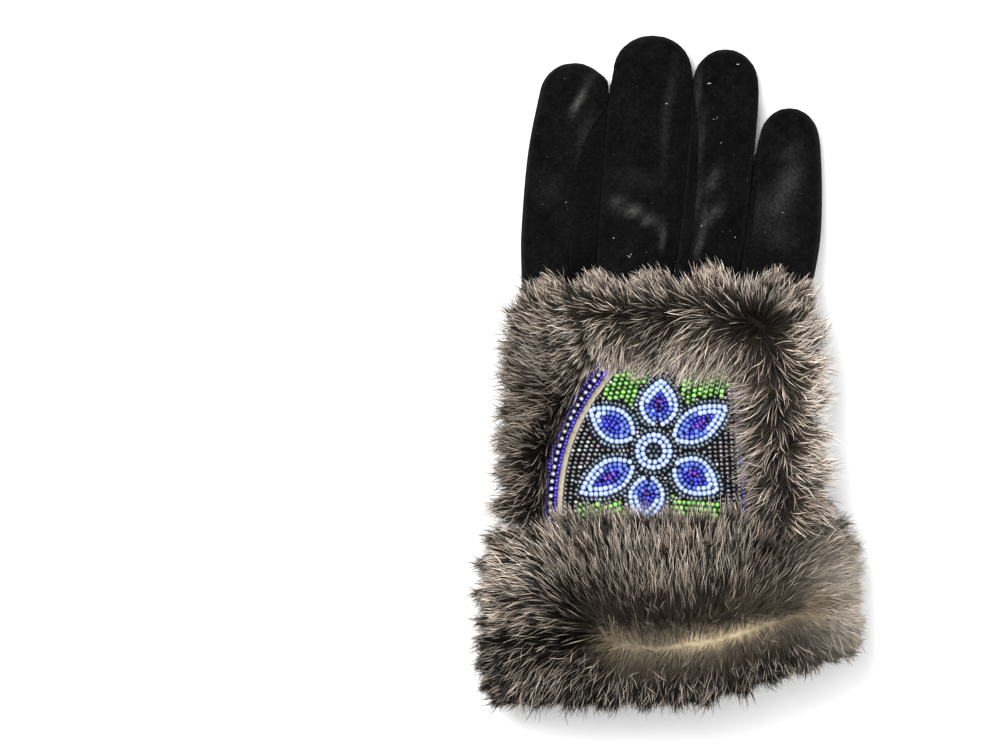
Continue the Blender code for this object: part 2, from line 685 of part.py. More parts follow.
def bead_panel(drape, materials, collection, cutters):
    """The hide panel with its edgings, bead ground, flower and leaves."""
    hide_low, hide_high = SEAM_GAP, SEAM_GAP + HIDE
    low, high = hide_high + BEAD_GAP, hide_high + BEAD_GAP + BEAD_DEPTH
    hide = flat_slab("hide_panel", field_outline(0), hide_low, hide_high, materials["hide"], collection)
    lay_on_back(hide, drape)
    edging_high = low + EDGING_DEPTH
    for name, side in (("edge_beads_thumb_side", -1), ("edge_beads_little_side", 1)):
        outline = band_outline(side, BEAD_GAP, EDGING_WIDTH)
        edging = flat_slab(name, outline, low, edging_high, materials["edging"], collection)
        lay_on_back(edging, drape)

    field = field_outline(EDGING_WIDTH + HIDE_STRIP)
    field_solid = flat_slab("field_guide", field, low, high, None, cutters)
    ground = flat_slab("bead_ground", field, low, high, materials["ground"], collection)
    reach_low, reach_high = low + GROUND_FLOOR, high + BEAD_GAP
    low = reach_low + BEAD_GAP
    outline = circle_outline(FLOWER_CENTRE)
    centre = flat_slab("flower_centre", outline, low, high, materials["petal"], collection)
    outline = circle_outline(FLOWER_CENTRE + BEAD_GAP)
    centre_cutter = hide_guide(flat_slab("centre_cutter", outline, reach_low, reach_high, None, cutters))
    cut(ground, centre_cutter)
    petals, petal_cutters = [], []
    for number, petal in enumerate(PETALS, 1):
        made = flat_slab(f"petal_{number}", petal_outline(petal), low, high, materials["petal"], collection)
        keep_inside(made, field_solid)
        outline = petal_outline(petal, BEAD_GAP)
        cutter = flat_slab(f"petal_cutter_{number}", outline, reach_low, reach_high, None, cutters)
        petals.append(made)
        petal_cutters.append(hide_guide(cutter))
    leaves = []
    for number, leaf in enumerate(LEAVES, 1):
        made = flat_slab(f"leaf_{number}", leaf_outline(leaf), low, high, materials["leaf"], collection)
        keep_inside(made, field_solid)
        outline = leaf_outline(leaf, BEAD_GAP)
        cutter = flat_slab(f"leaf_cutter_{number}", outline, reach_low, reach_high, None, cutters)
        cut(ground, hide_guide(cutter))
        for petal_cutter in petal_cutters:
            cut(made, petal_cutter)
        leaves.append(made)
    for petal_cutter in petal_cutters:
        cut(ground, petal_cutter)
    hide_guide(field_solid)
    for piece in (ground, centre, *petals, *leaves):
        lay_on_back(piece, drape)


def keep_inside(piece, field_solid):
    modifier = piece.modifiers.new("field_edge", "BOOLEAN")
    modifier.operation = "INTERSECT"
    modifier.object = field_solid


def grow_lock(bm, face, run):
    """Draws a face out into a pointed lock of fur."""
    drawn = bmesh.ops.extrude_discrete_faces(bm, faces=[face])["faces"][0]
    root = drawn.calc_center_median()
    for vert in drawn.verts:
        vert.co = root + (vert.co - root) * LOCK_TIP + run.normalized() * LOCK_LENGTH


def even_points(path, count):
    """Points that divide a path of points evenly, with its two ends."""
    lengths = [0.0]
    for first, second in zip(path, path[1:]):
        lengths.append(lengths[-1] + (second - first).length)
    points = []
    for step in range(count + 1):
        reach = lengths[-1] * step / count
        number = next((n for n in range(1, len(path) - 1) if lengths[n] >= reach), len(path) - 1)
        share = (reach - lengths[number - 1]) / (lengths[number] - lengths[number - 1])
        points.append(path[number - 1].lerp(path[number], share))
    return points


def frame_edges():
    """Matched points of the fur frame's inner and outer edge, from the thumb's side over the top."""
    low_y = PANEL_LOW_Y
    top_y = FRAME_TOP_Y
    corner = Vector((FRAME_CORNER, FRAME_CORNER))
    sides = {}
    for side in (-1, 1):
        inner = inset_edge(side, -FRAME_CLEARANCE)
        inner[-1].y = PANEL_TOP_Y + FRAME_CLEARANCE
        outer = []
        for share in (0, 0.25, 0.5, 0.75, 1):
            y = mix(low_y, top_y - corner.y, share)
            along = -y / BODY_LENGTH
            edge = edge_x(read_row(BODY_ROWS, along, "left" if side < 0 else "right"))
            outer.append(Vector((edge - side * FRAME_MARGIN, y)))
        outer.append(Vector((outer[-1].x - side * corner.x, top_y)))
        sides[side] = (inner, outer)
    thumb_inner, thumb_outer = sides[-1]
    little_inner, little_outer = sides[1]
    thumb_outer.append(Vector((thumb_inner[-1].x - FRAME_CORNER, top_y)))
    pairs = list(zip(even_points(thumb_inner, 9), even_points(thumb_outer, 9)))
    top_inner = [thumb_inner[-1], little_inner[-1]]
    little_outer[-1].x += FRAME_CORNER / 2
    top_outer = [thumb_outer[-1], little_outer[-1]]
    pairs += list(zip(even_points(top_inner, 4), even_points(top_outer, 4)))[1:]
    down = list(zip(even_points(little_inner[::-1], 7), even_points(little_outer[::-1], 7)))
    return pairs + down[1:]


def fur_frame(drape, material, collection):
    """The fur round three sides of the panel: skin with a rounded pile, drawn into locks."""
    steps = 5
    bm = bmesh.new()
    rings, outward_at = [], []
    for inner, outer in frame_edges():
        top, bottom = [], []
        for step in range(steps + 1):
            turn = math.pi * step / steps
            place = inner.lerp(outer, (1 - math.cos(turn)) / 2)
            low = drape.bridged_height(place.x, place.y, 6 * MM) + SEAM_GAP
            top.append(Vector((place.x, place.y, low + PELT + FRAME_PUFF * math.sin(turn))))
            bottom.append(Vector((place.x, place.y, low)))
        rings.append([bm.verts.new(point) for point in top + bottom[::-1]])
        outward_at.append((outer - inner).normalized())
    locks = []
    for number, (low, high) in enumerate(zip(rings, rings[1:])):
        outward = (outward_at[number] + outward_at[number + 1]).normalized()
        for step in range(len(low)):
            after = (step + 1) % len(low)
            face = bm.faces.new((low[step], low[after], high[after], high[step]))
            if step < steps:
                lean = mix(0.1, 1.6, step / (steps - 1))
                locks.append((face, Vector((outward.x * lean, outward.y * lean, 0.75))))
    bm.faces.new(rings[0])
    bm.faces.new(rings[-1][::-1])
    bmesh.ops.recalc_face_normals(bm, faces=bm.faces)
    for face, run in locks:
        grow_lock(bm, face, run)
    return new_object("fur_frame", finish_mesh(bm, "fur_frame", 60), material, collection)


BEND_WEIGHT = 12 * MM  # length that one radian of bending counts for

# Rows of a fur band's pile: along is a share of its length from the fingers' end, height of CUFF_PUFF.
PileRow = namedtuple("PileRow", "along height")
WRIST_PILE = (
    PileRow(0.0, 0.25), PileRow(0.2, 0.75), PileRow(0.48, 1.0), PileRow(0.78, 1.02), PileRow(1.0, 0.7),
)
HEM_PILE = (
    PileRow(0.0, 0.7), PileRow(0.26, 1.05), PileRow(0.55, 1.08), PileRow(0.84, 0.7), PileRow(1.0, 0.25),
)


def cuff_point(distance, degrees, offset):
    """A point round the cuff at a distance from the crotch line and at an offset from its leather."""
    along = distance / BODY_LENGTH
    left = edge_x(read_row(BODY_ROWS, along, "left"))
    right = edge_x(read_row(BODY_ROWS, along, "right"))
    depth = mix(ROOT_DEPTH, CUFF_DEPTH, read_row(BODY_ROWS, along, "depth"))
    turn = math.radians(degrees)
    across = rounded(math.cos(turn), BODY_ROUNDNESS)
    up = rounded(math.sin(turn), BODY_ROUNDNESS)
    if up < 0:
        up = max(-1.0, up * FLATTENED)
    x = (left + right) / 2 + ((right - left) / 2 + offset) * across
    z = PALM_REST + depth / 2 + (depth / 2 + offset) * up
    return Vector((x, body_y((across + 1) / 2, along), max(0.0, z)))


def even_turns(count):
    """Degrees that divide the way round the cuff's edge, closer together where it bends."""
    fine = [cuff_point(BODY_LENGTH, step, 0) for step in range(-1, 362)]
    lengths = [0.0]
    for before, first, second in zip(fine, fine[1:], fine[2:]):
        bend = (first - before).angle(second - first, 0.0)
        lengths.append(lengths[-1] + (second - first).length + bend * BEND_WEIGHT)
    return [
        min(range(361), key=lambda degrees: abs(lengths[degrees] - lengths[-1] * (step + 0.5) / count))
        for step in range(count)
    ]


def fur_band(name, start, length, pile, skin, direction, material, collection):
    """A ring of fur round the cuff. skin has its inner points (distance, offset) from the hem's end up."""
    bm = bmesh.new()
    profile = [(start + row.along * length, PELT + CUFF_PUFF * row.height) for row in pile] + skin
    turns = even_turns(28)
    rings = []
    for degrees in turns:
        rings.append([bm.verts.new(cuff_point(distance, degrees, offset)) for distance, offset in profile])
    locks = []
    for number, ring in enumerate(rings):
        following = rings[(number + 1) % len(rings)]
        for step in range(len(profile)):
            after = (step + 1) % len(profile)
            face = bm.faces.new((ring[step], ring[after], following[after], following[step]))
            if step < len(pile) - 1:
                locks.append(face)
    bmesh.ops.recalc_face_normals(bm, faces=bm.faces)
    for face in locks:
        face.normal_update()
        if face.normal.z > -0.45:
            grow_lock(bm, face, direction(face.calc_center_median(), face.normal))
    return new_object(name, finish_mesh(bm, name, 60), material, collection)


def wrist_lock(root, normal):
    """Locks over the panel are combed towards the fingers, the others stand out."""
    over_panel = abs(root.x - PANEL_X) < PANEL_WIDTH / 2 - LOCK_LENGTH and normal.z > 0.3
    near_panel = ease(1 - (PANEL_LOW_Y - root.y) / WRIST_BAND_LENGTH)
    return normal + Vector((0, mix(0.1, 1.1, near_panel) if over_panel else 0.12, 0.1))


def hem_lock(root, normal):
    return normal + Vector((0, -0.35, 0.15))


def fur_cuff(material, collection):
    """Two bands of fur that meet at a parting: one on the wrist, one wrapped over the cuff's edge."""
    hem_start = BODY_LENGTH - HEM_BAND_LENGTH
    wrist_end = hem_start - SEAM_GAP
    wrist_start = wrist_end - WRIST_BAND_LENGTH
    skin = [(mix(wrist_end, wrist_start, share), PELT_GAP) for share in (0, 0.33, 0.67, 1)]
    fur_band(
        "fur_wrist_band", wrist_start, WRIST_BAND_LENGTH, WRIST_PILE, skin, wrist_lock, material, collection
    )
    edge = BODY_LENGTH + PELT_GAP
    wrap = [(BODY_LENGTH + HEM_OVERHANG, -SUEDE), (edge, -SUEDE), (edge, PELT_GAP), (hem_start, PELT_GAP)]
    hem_length = HEM_BAND_LENGTH + HEM_OVERHANG
    fur_band("fur_hem_band", hem_start, hem_length, HEM_PILE, wrap, hem_lock, material, collection)


def move_to_footprint(collection):
    """Puts the origin in the middle of the glove's footprint, on the surface that it lies on."""
    bpy.context.view_layer.update()
    meshes = [(piece, evaluated_mesh(piece)) for piece in collection.objects]
    points = [vert.co for _, mesh in meshes for vert in mesh.vertices]
    low = [min(point[axis] for point in points) for axis in range(3)]
    high = [max(point[axis] for point in points) for axis in range(3)]
    shift = Vector((-(low[0] + high[0]) / 2, -(low[1] + high[1]) / 2, -low[2]))
    for piece, mesh in meshes:
        piece.modifiers.clear()
        old = piece.data
        piece.data = mesh
        mesh.transform(piece.matrix_world)
        bpy.data.meshes.remove(old)
        mesh.name = piece.name
        piece.location = shift


def build():
    clear_scene()
    glove = bpy.data.collections.new("beaded_glove")
    cutters = bpy.data.collections.new("cutters")
    for collection in (glove, cutters):
        bpy.context.scene.collection.children.link(collection)
    suede = new_material("black_suede", SUEDE_COLOUR, 0.95)
    fur = new_material("brown_fur", FUR_COLOUR, 0.8)
    bead_materials = {
        "hide": new_material("tanned_hide", HIDE_COLOUR, 0.8),
        "ground": new_material("gunmetal_beads", GROUND_COLOUR, 0.25, 0.4),
        "petal": new_material("pale_blue_beads", PETAL_COLOUR, 0.3),
        "leaf": new_material("green_beads", LEAF_COLOUR, 0.25),
        "edging": new_material("cobalt_beads", EDGING_COLOUR, 0.25),
    }
    back = hand_panel("hand_back", 1, suede, glove)
    palm = hand_panel("hand_palm", -1, suede, glove)
    names = [finger.name for finger in FINGERS]
    for number, (name, following) in enumerate(zip(names, names[1:])):
        fourchette(f"fourchette_{name}_{following}", number, suede, glove)
    hole = thumb_hole_cutter(cutters)
    cut(palm, hole)
    thumb(suede, glove, cutters, hole)
    drape = Drape(back)
    bead_panel(drape, bead_materials, glove, cutters)
    fur_frame(drape, fur, glove)
    fur_cuff(fur, glove)
    move_to_footprint(glove)


build()
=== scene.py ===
"""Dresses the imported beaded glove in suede, tanned hide, seed beads and fur, on a pale floor in soft light."""
import math
from collections import namedtuple

import bmesh
import bpy
import numpy as np
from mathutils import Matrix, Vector
from mathutils.bvhtree import BVHTree
from mathutils.kdtree import KDTree


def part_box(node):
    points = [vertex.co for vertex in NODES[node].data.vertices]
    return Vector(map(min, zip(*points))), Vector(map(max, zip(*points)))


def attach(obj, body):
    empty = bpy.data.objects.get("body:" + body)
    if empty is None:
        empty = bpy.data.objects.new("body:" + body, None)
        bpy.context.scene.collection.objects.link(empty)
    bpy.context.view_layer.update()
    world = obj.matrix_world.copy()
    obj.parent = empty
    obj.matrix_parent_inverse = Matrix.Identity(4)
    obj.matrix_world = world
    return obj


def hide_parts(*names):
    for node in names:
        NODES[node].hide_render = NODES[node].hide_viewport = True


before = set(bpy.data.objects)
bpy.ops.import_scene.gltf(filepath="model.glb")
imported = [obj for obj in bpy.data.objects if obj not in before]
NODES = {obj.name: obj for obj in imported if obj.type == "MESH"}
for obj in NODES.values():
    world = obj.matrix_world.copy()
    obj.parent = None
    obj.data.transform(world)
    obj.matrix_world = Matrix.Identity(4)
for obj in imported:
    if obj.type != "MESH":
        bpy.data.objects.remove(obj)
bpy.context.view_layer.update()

# Everything below is in millimetres in the row frame, until add_mesh turns it into metres.
MM = 0.001
SEED = 20

# Camera: straight above, at the place on the floor that the photograph's middle shows.
VIEW_X, VIEW_Y = -61.1, -2.2
VIEW_WIDTH = 366.5  # seen across the picture at this height above the floor
VIEW_LEVEL = 14.0
VIEW_HEIGHT = 3000.0
SENSOR = 36.0

# The panel on the hand's back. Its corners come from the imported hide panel.
PANEL_THUMB_BOW = 22.4  # how far the thumb's side curves in over its height
PANEL_BOW_POWER = 2.45
PANEL_SIDE_LEAN = 3.0
EDGING_WIDTH = 5.2
HIDE_STRIP = 1.6  # bare hide beside the edging on the thumb's side
BACKING_LIFT = 0.25  # cloth under the beads, above the hide
BEAD_LIFT = 1.25  # middle of a bead above the hide
PETAL_START = 8.95
PETAL_LENGTH = 20.0
PETAL_WIDTH = 16.0
LEAF_LENGTH = 26.0
LEAF_WIDTH = 19.0
COLUMN_PITCH = 2.0  # between rows of dark beads
RUNG_PITCH = 2.7  # along the edging

# Heights that hair keeps clear of.
FLOOR_CLEARANCE = 0.25
HAIR_CLEARANCE = 0.5
HAIR_CEILING = 55.0
BEADS_TOP = 2.7  # above the hide

RAY_START = 200.0  # rays that look for a surface start up here
MAP_CELL = 1.5  # grid step of a height map
MAP_LOWEST = 10.0  # its height beside the nodes


def node_mesh(name):
    """Points in millimetres and faces of a CAD node, with doubled points joined."""
    bm = bmesh.new()
    bm.from_mesh(NODES[name].data)
    bmesh.ops.remove_doubles(bm, verts=bm.verts, dist=0.01 * MM)
    bmesh.ops.scale(bm, verts=bm.verts, vec=(1 / MM, 1 / MM, 1 / MM))
    return bm


def node_tree(name):
    bm = node_mesh(name)
    tree = BVHTree.FromBMesh(bm)
    bm.free()
    return tree


def height_under(tree, x, y):
    """Height of a tree's surface at a place, or None beside it."""
    hit = tree.ray_cast(Vector((x, y, RAY_START)), Vector((0, 0, -1)))[0]
    return None if hit is None else hit.z


def node_box(name):
    low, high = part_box(name)
    return low / MM, high / MM


def smooth_step(low, high, value):
    share = np.clip((value - low) / (high - low), 0.0, 1.0)
    return share * share * (3 - 2 * share)


def bearings(degrees):
    """Unit vectors at an angle from +X and a quarter turn further."""
    turn = math.radians(degrees)
    ahead = np.array([math.cos(turn), math.sin(turn)])
    return ahead, np.array([-ahead[1], ahead[0]])


def unit(vectors):
    return vectors / np.maximum(np.linalg.norm(vectors, axis=-1, keepdims=True), 1e-9)


class HeightMap:
    """Height of the topmost of some CAD nodes over a grid, each with its own rise."""

    def __init__(self, rises):
        boxes = [node_box(name) for name in rises]
        self.origin = np.array([min(low[axis] for low, _ in boxes) for axis in (0, 1)])
        end = np.array([max(high[axis] for _, high in boxes) for axis in (0, 1)])
        self.grid = np.full(np.ceil((end - self.origin) / MAP_CELL).astype(int) + 1, MAP_LOWEST)
        for name, rise in rises.items():
            tree = node_tree(name)
            for cell in np.ndindex(self.grid.shape):
                top = height_under(tree, *(self.origin + np.array(cell) * MAP_CELL))
                if top is not None:
                    self.grid[cell] = max(self.grid[cell], top + rise)

    def at(self, x, y):
        u = np.clip((x - self.origin[0]) / MAP_CELL, 0, self.grid.shape[0] - 1.001)
        v = np.clip((y - self.origin[1]) / MAP_CELL, 0, self.grid.shape[1] - 1.001)
        i, j = u.astype(int), v.astype(int)
        u, v = u - i, v - j
        low = self.grid[i, j] * (1 - u) + self.grid[i + 1, j] * u
        high = self.grid[i, j + 1] * (1 - u) + self.grid[i + 1, j + 1] * u
        return low * (1 - v) + high * v


# Materials

def new_material(name):
    material = bpy.data.materials.new(name)
    material.use_nodes = True
    nodes = material.node_tree.nodes
    return material, nodes, material.node_tree.links, nodes["Principled BSDF"]


def filled(node, **values):
    """Sets a node's inputs. A _ stands for the space in a name."""
    for name, value in values.items():
        node.inputs[name.replace("_", " ")].default_value = value
    return node


def noise_node(nodes, links, scale):
    """Noise in the row frame, with scale in cycles per metre."""
    noise = filled(nodes.new("ShaderNodeTexNoise"), Scale=scale, Detail=4.0, Roughness=0.55)
    links.new(nodes.new("ShaderNodeTexCoord").outputs["Object"], noise.inputs["Vector"])
    return noise.outputs["Fac"]


def map_range(nodes, links, source, low, high):
    """Spreads the middle of the noise over a range."""
    node = filled(nodes.new("ShaderNodeMapRange"), From_Min=0.3, From_Max=0.7, To_Min=low, To_Max=high)
    links.new(source, node.inputs["Value"])
    return node.outputs["Result"]


def tinted(nodes, links, colour, factor):
    """A colour times a number."""
    node = nodes.new("ShaderNodeMix")
    node.data_type = "RGBA"
    node.blend_type = "MULTIPLY"
    node.inputs["Factor"].default_value = 1.0
    if isinstance(colour, tuple):
        node.inputs["A"].default_value = (*colour, 1.0)
    else:
        links.new(colour, node.inputs["A"])
    links.new(factor, node.inputs["B"])
    return node.outputs["Result"]


def bump(nodes, links, height, strength, distance):
    node = filled(nodes.new("ShaderNodeBump"), Strength=strength, Distance=distance * MM)
    links.new(height, node.inputs["Height"])
    return node.outputs["Normal"]


BUMP_STRENGTH = 0.5


def painted_material(look):
    """A material whose colour is painted on the mesh and broken up by noise."""
    material, nodes, links, shader = new_material(look.name)
    paint = nodes.new("ShaderNodeAttribute")
    paint.attribute_name = "paint"
    noise = noise_node(nodes, links, look.scale)
    factor = map_range(nodes, links, noise, 1 - look.variation, 1 + look.variation)
    links.new(tinted(nodes, links, paint.outputs["Color"], factor), shader.inputs["Base Color"])
    links.new(map_range(nodes, links, noise, *look.roughness), shader.inputs["Roughness"])
    links.new(bump(nodes, links, noise, BUMP_STRENGTH, look.bump), shader.inputs["Normal"])
    shader.inputs["Specular IOR Level"].default_value = look.specular
    for socket, value in look.even.items():
        shader.inputs[socket].default_value = value
    return material


# Each material's name, lowest and highest roughness, how far noise shifts its colour, the noise's cycles per
# metre, the bump's depth in millimetres, the specular level and the sockets that are even all over.
Look = namedtuple("Look", "name roughness variation scale bump specular even", defaults=({},))
LOOKS = {
    "suede": Look("black_suede", (0.9, 1.0), 0.55, 900, 0.22, 0.03, {"Sheen Weight": 0.01, "Sheen Roughness": 0.5}),
    "hide": Look("tanned_hide", (0.7, 0.9), 0.12, 1600, 0.12, 0.3),
    "cloth": Look("black_backing", (0.85, 0.95), 0.3, 2500, 0.15, 0.2),
    "dark_beads": Look("gunmetal_beads", (0.12, 0.24), 0.2, 1500, 0.03, 0.9, {"Metallic": 0.2}),
    "pale_beads": Look("opaque_beads", (0.12, 0.24), 0.08, 1500, 0.03, 0.45),
    "green_beads": Look("lined_green_beads", (0.08, 0.18), 0.15, 1500, 0.03, 0.8),
    "cobalt_beads": Look("cobalt_beads", (0.08, 0.2), 0.12, 1500, 0.03, 0.8),
    "crystal": Look("clear_beads", (0.03, 0.1), 0.05, 1500, 0.02, 0.8),
    "underfur": Look("underfur", (0.8, 0.95), 0.3, 500, 0.8, 0.05),
    "hair": Look("fur_hair", (0.42, 0.6), 0.12, 260, 0.02, 0.12),
}


MATERIALS = {key: painted_material(look) for key, look in LOOKS.items()}


def linked(thing):
    bpy.context.scene.collection.objects.link(thing)
    return thing


def add_mesh(name, points, faces, material, paint=None):
    """A smooth mesh object from points in millimetres. faces is an (n, corners) array or a list of them."""
    blocks = faces if isinstance(faces, list) else [faces]
    corners = np.concatenate([block.ravel() for block in blocks])
    sizes = np.concatenate([np.full(len(block), block.shape[1]) for block in blocks])
    mesh = bpy.data.meshes.new(name)
    mesh.vertices.add(len(points))
    mesh.vertices.foreach_set("co", (np.asarray(points, float) * MM).astype(np.float32).ravel())
    mesh.loops.add(len(corners))
    mesh.loops.foreach_set("vertex_index", corners.astype(np.int32))
    mesh.polygons.add(len(sizes))
    mesh.polygons.foreach_set("loop_start", (np.cumsum(sizes) - sizes).astype(np.int32))
    mesh.polygons.foreach_set("use_smooth", np.full(len(sizes), True))
    mesh.update(calc_edges=True)
    mesh.validate()
    if paint is not None:
        colours = np.ones((len(mesh.vertices), 4), np.float32)
        colours[:, :3] = np.clip(paint, 0.0, 1.0)
        mesh.color_attributes.new("paint", "FLOAT_COLOR", "POINT").data.foreach_set("color", colours.ravel())
    mesh.materials.append(MATERIALS[material])
    return linked(bpy.data.objects.new(name, mesh))


def placed_copy(name, bm):
    """A passing object made from a bmesh, which is freed."""
    mesh = bpy.data.meshes.new(name + "_soft")
    bm.to_mesh(mesh)
    bm.free()
    return linked(bpy.data.objects.new(name + "_soft", mesh))


def modify(drawn, kind, **settings):
    modifier = drawn.modifiers.new(kind.lower(), kind)
    for name, value in settings.items():
        setattr(modifier, name, value)


def fetched(items, name, width, kind=float):
    """One property of a mesh's vertices or edges as an array."""
    found = np.empty(len(items) * width, kind)
    items.foreach_get(name, found)
    return found.reshape(-1, width)


def modified(drawn):
    """What an object's modifiers make of it: points, normals, faces with four corners, and edges."""
    bpy.context.view_layer.update()
    graph = bpy.context.evaluated_depsgraph_get()
    mesh = bpy.data.meshes.new_from_object(drawn.evaluated_get(graph), depsgraph=graph)
    points, normals = fetched(mesh.vertices, "co", 3), fetched(mesh.vertices, "normal", 3)
    edges = fetched(mesh.edges, "vertices", 2, int)
    faces = np.array([tuple(face.vertices) for face in mesh.polygons if len(face.vertices) == 4])
    bpy.data.meshes.remove(mesh)
    return points, normals, faces, edges


def finish_piece(piece, slot, *replaced):
    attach(piece, "root")
    if replaced:
        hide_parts(*replaced)


# Suede

# Folds and hollows of the hand's back: middle, degrees from +X, length, width and rise.
Fold = namedtuple("Fold", "x y turn length width rise")
FOLDS = [Fold(*row) for row in (
    (-13.3, 57.6, -26, 17, 3.4, 1.4), (-12.5, 47.0, -10, 14, 9.0, -1.0), (-3.8, 50.0, 88, 11, 2.4, 0.7),
    (7.2, 51.0, 78, 18, 2.6, 0.7), (13.5, 58.0, 60, 14, 4.5, 0.7), (12.0, 72.0, 85, 12, 5.0, 0.6),
    (-34.5, 97.0, 68, 12, 3.5, 0.6), (-2.8, 88.0, 86, 24, 3.5, 0.4), (39.0, 66.0, 70, 18, 9.0, 0.5),
    (-45.0, 62.0, 80, 20, 6.0, -0.5),
)]
# Lighter marks on the suede, partly rubbed wear and partly painted highlight on its ridges and folds, with the lift
# of their colour.
WearAndHighlight = namedtuple("WearAndHighlight", "x y turn length width lift")
WEAR_AND_HIGHLIGHTS = [WearAndHighlight(*row) for row in (
    (-13.5, 58.0, -26, 17, 2.4, 0.026), (-8.5, 54.0, -32, 8, 1.8, 0.018), (-18.0, 59.5, -12, 8, 6.0, 0.006),
    (-3.8, 48.5, 84, 8, 1.8, 0.022), (-33.6, 99.0, 62, 8, 2.2, 0.045), (-36.0, 95.0, 75, 7, 2.6, 0.010),
    (-31.5, 88.0, 80, 16, 5.0, 0.004), (-30.0, 106.0, 60, 7, 4.0, 0.006), (-1.5, 98.0, 80, 22, 3.0, 0.007),
    (-2.6, 82.0, 86, 20, 2.6, 0.005), (-12.0, 70.0, -10, 16, 5.0, 0.004), (10.2, 101.5, 86, 16, 1.8, 0.013),
    (10.8, 82.0, 84, 26, 2.0, 0.007), (9.6, 62.0, 80, 16, 1.8, 0.008), (14.6, 69.5, 62, 9, 3.6, 0.016),
    (15.2, 57.5, 50, 9, 3.4, 0.018), (11.5, 54.5, 84, 9, 2.0, 0.014), (9.8, 46.0, 74, 9, 2.4, 0.018),
    (42.5, 69.0, 62, 13, 7.0, 0.016), (38.5, 60.5, 50, 11, 9.0, 0.010), (39.0, 49.0, 60, 10, 12.0, 0.006),
    (43.0, 80.0, 40, 10, 6.0, 0.006), (31.0, 58.0, 80, 18, 5.0, 0.004), (-44.5, 66.0, 60, 12, 7.0, 0.003),
    (-30.5, 70.0, 88, 52, 9.0, 0.0035),
)]
SUEDE_COLOUR = np.array([0.0030, 0.0030, 0.0033])
# Colour of the lighter marks on the suede: painted highlight along its edges and folds, and rubbed wear.
HIGHLIGHT_AND_WEAR_COLOUR = np.array([1.0, 0.97, 0.93])
FINGER_SWELL = 1.0  # fingers bulge until they touch
# How often each suede node is subdivided, in the order that they are built.
SUEDE_LEVELS = {
    "hand_back": 3, "hand_palm": 2, "thumb": 1,
    "fourchette_index_middle": 1, "fourchette_middle_ring": 1, "fourchette_ring_little": 1,
}
SEAM_ANGLE = math.radians(72)  # edges sharper than this stay creased
SEAM_CREASE = 0.6
SHRINK_BACK = 0.4  # share of what rounding takes off that is put back
# The round ends of the fingertips: middle and radius.
Tip = namedtuple("Tip", "x y radius")
TIPS = (Tip(-34.6, 100.0, 12.1), Tip(-7.3, 107.1, 14.7), Tip(19.6, 105.8, 11.3), Tip(43.2, 84.7, 10.9))
# Lint on the nap: place, degrees from +X and length.
Lint = namedtuple("Lint", "x y turn length")
LINT = [Lint(*row) for row in (
    (-15.9, 41.9, 150, 1.4), (-15.1, 42.6, 60, 1.0), (-6.2, 36.2, 50, 1.7), (-2.0, 97.6, 20, 0.7),
    (16.4, 92.4, 75, 1.0), (15.2, 91.9, 20, 0.6), (24.1, 112.0, 5, 1.1), (13.6, 105.0, 0, 1.3),
    (10.5, 53.0, 80, 0.7), (17.9, 83.3, 30, 0.6), (-21.3, 48.6, 10, 0.6), (-38.6, 61.6, 60, 0.6),
    (22.8, 48.9, 40, 0.5), (40.2, 57.9, 10, 0.6),
)]


def mark_share(mark, x, y):
    """How strongly a fold or a lighter mark of wear and painted highlight shows at each place, from 0 to 1."""
    turn = math.radians(mark.turn)
    along = (x - mark.x) * math.cos(turn) + (y - mark.y) * math.sin(turn)
    across = -(x - mark.x) * math.sin(turn) + (y - mark.y) * math.cos(turn)
    return np.exp(-((along / (mark.length / 2)) ** 2) - (across / (mark.width / 2)) ** 2)


def ripple(x, y, length, phase=0.0):
    """A smooth uneven pattern from -1 to 1 with waves of about this length."""
    k = 2 * math.pi / length
    first = np.sin(k * x + 1.3 * np.sin(k * 0.7 * y + phase))
    second = np.sin(k * 0.83 * y + 1.7 * np.sin(k * 0.6 * x + 2 * phase))
    return (first + second) / 2


def soft_copy(name, levels):
    """A CAD node's mesh with its corners rounded by subdivision: points, normals and faces."""
    bm = node_mesh(name)
    flat, square = math.radians(30), math.radians(60)
    bmesh.ops.join_triangles(bm, faces=bm.faces, angle_face_threshold=flat, angle_shape_threshold=square)
    crease = bm.edges.layers.float.new("crease_edge")
    for edge in bm.edges:
        if len(edge.link_faces) == 2 and edge.calc_face_angle(0.0) > SEAM_ANGLE:
            edge[crease] = SEAM_CREASE
    drawn = placed_copy(name, bm)
    modify(drawn, "SUBSURF", levels=levels, render_levels=levels)
    corners = fetched(drawn.data.vertices, "co", 3)
    shrunk = modified(drawn)[0][: len(corners)]
    drawn.data.vertices.foreach_set("co", (corners + SHRINK_BACK * (corners - shrunk)).ravel())
    drawn.data.update()
    modify(drawn, "SMOOTH", factor=0.5, iterations=3 * levels)
    points, normals, faces, _ = modified(drawn)
    bpy.data.objects.remove(drawn)
    return points, normals, faces


def tip_reach(points, tip):
    """Each point's turn in degrees and distance round a fingertip's middle, and which points belong to it."""
    x, y = points[:, 0] - tip.x, points[:, 1] - tip.y
    turn, reach = np.degrees(np.arctan2(y, x)), np.hypot(x, y)
    return turn, reach, (turn > 0) & (np.abs(x) < tip.radius + 1.5) & (reach < 1.5 * tip.radius)


def tip_stretch(points):
    """For each fingertip, how far its outline has to move out at each turn to be evenly round."""
    turns = np.arange(0.0, 181.0, 4.0)
    stretches = []
    for tip in TIPS:
        turn, reach, own = tip_reach(points, tip)
        far = [reach[own & (np.abs(turn - middle) < 3.5)].max(initial=1.0) for middle in turns]
        weight = np.exp(-(((turns[:, None] - turns[None]) / 15.0) ** 2) / 2)
        even = weight @ np.array(far) / weight.sum(1)
        fade = smooth_step(5, 35, turns) * smooth_step(175, 145, turns)
        stretches.append(1 + (even / far - 1) * fade)
    return turns, stretches


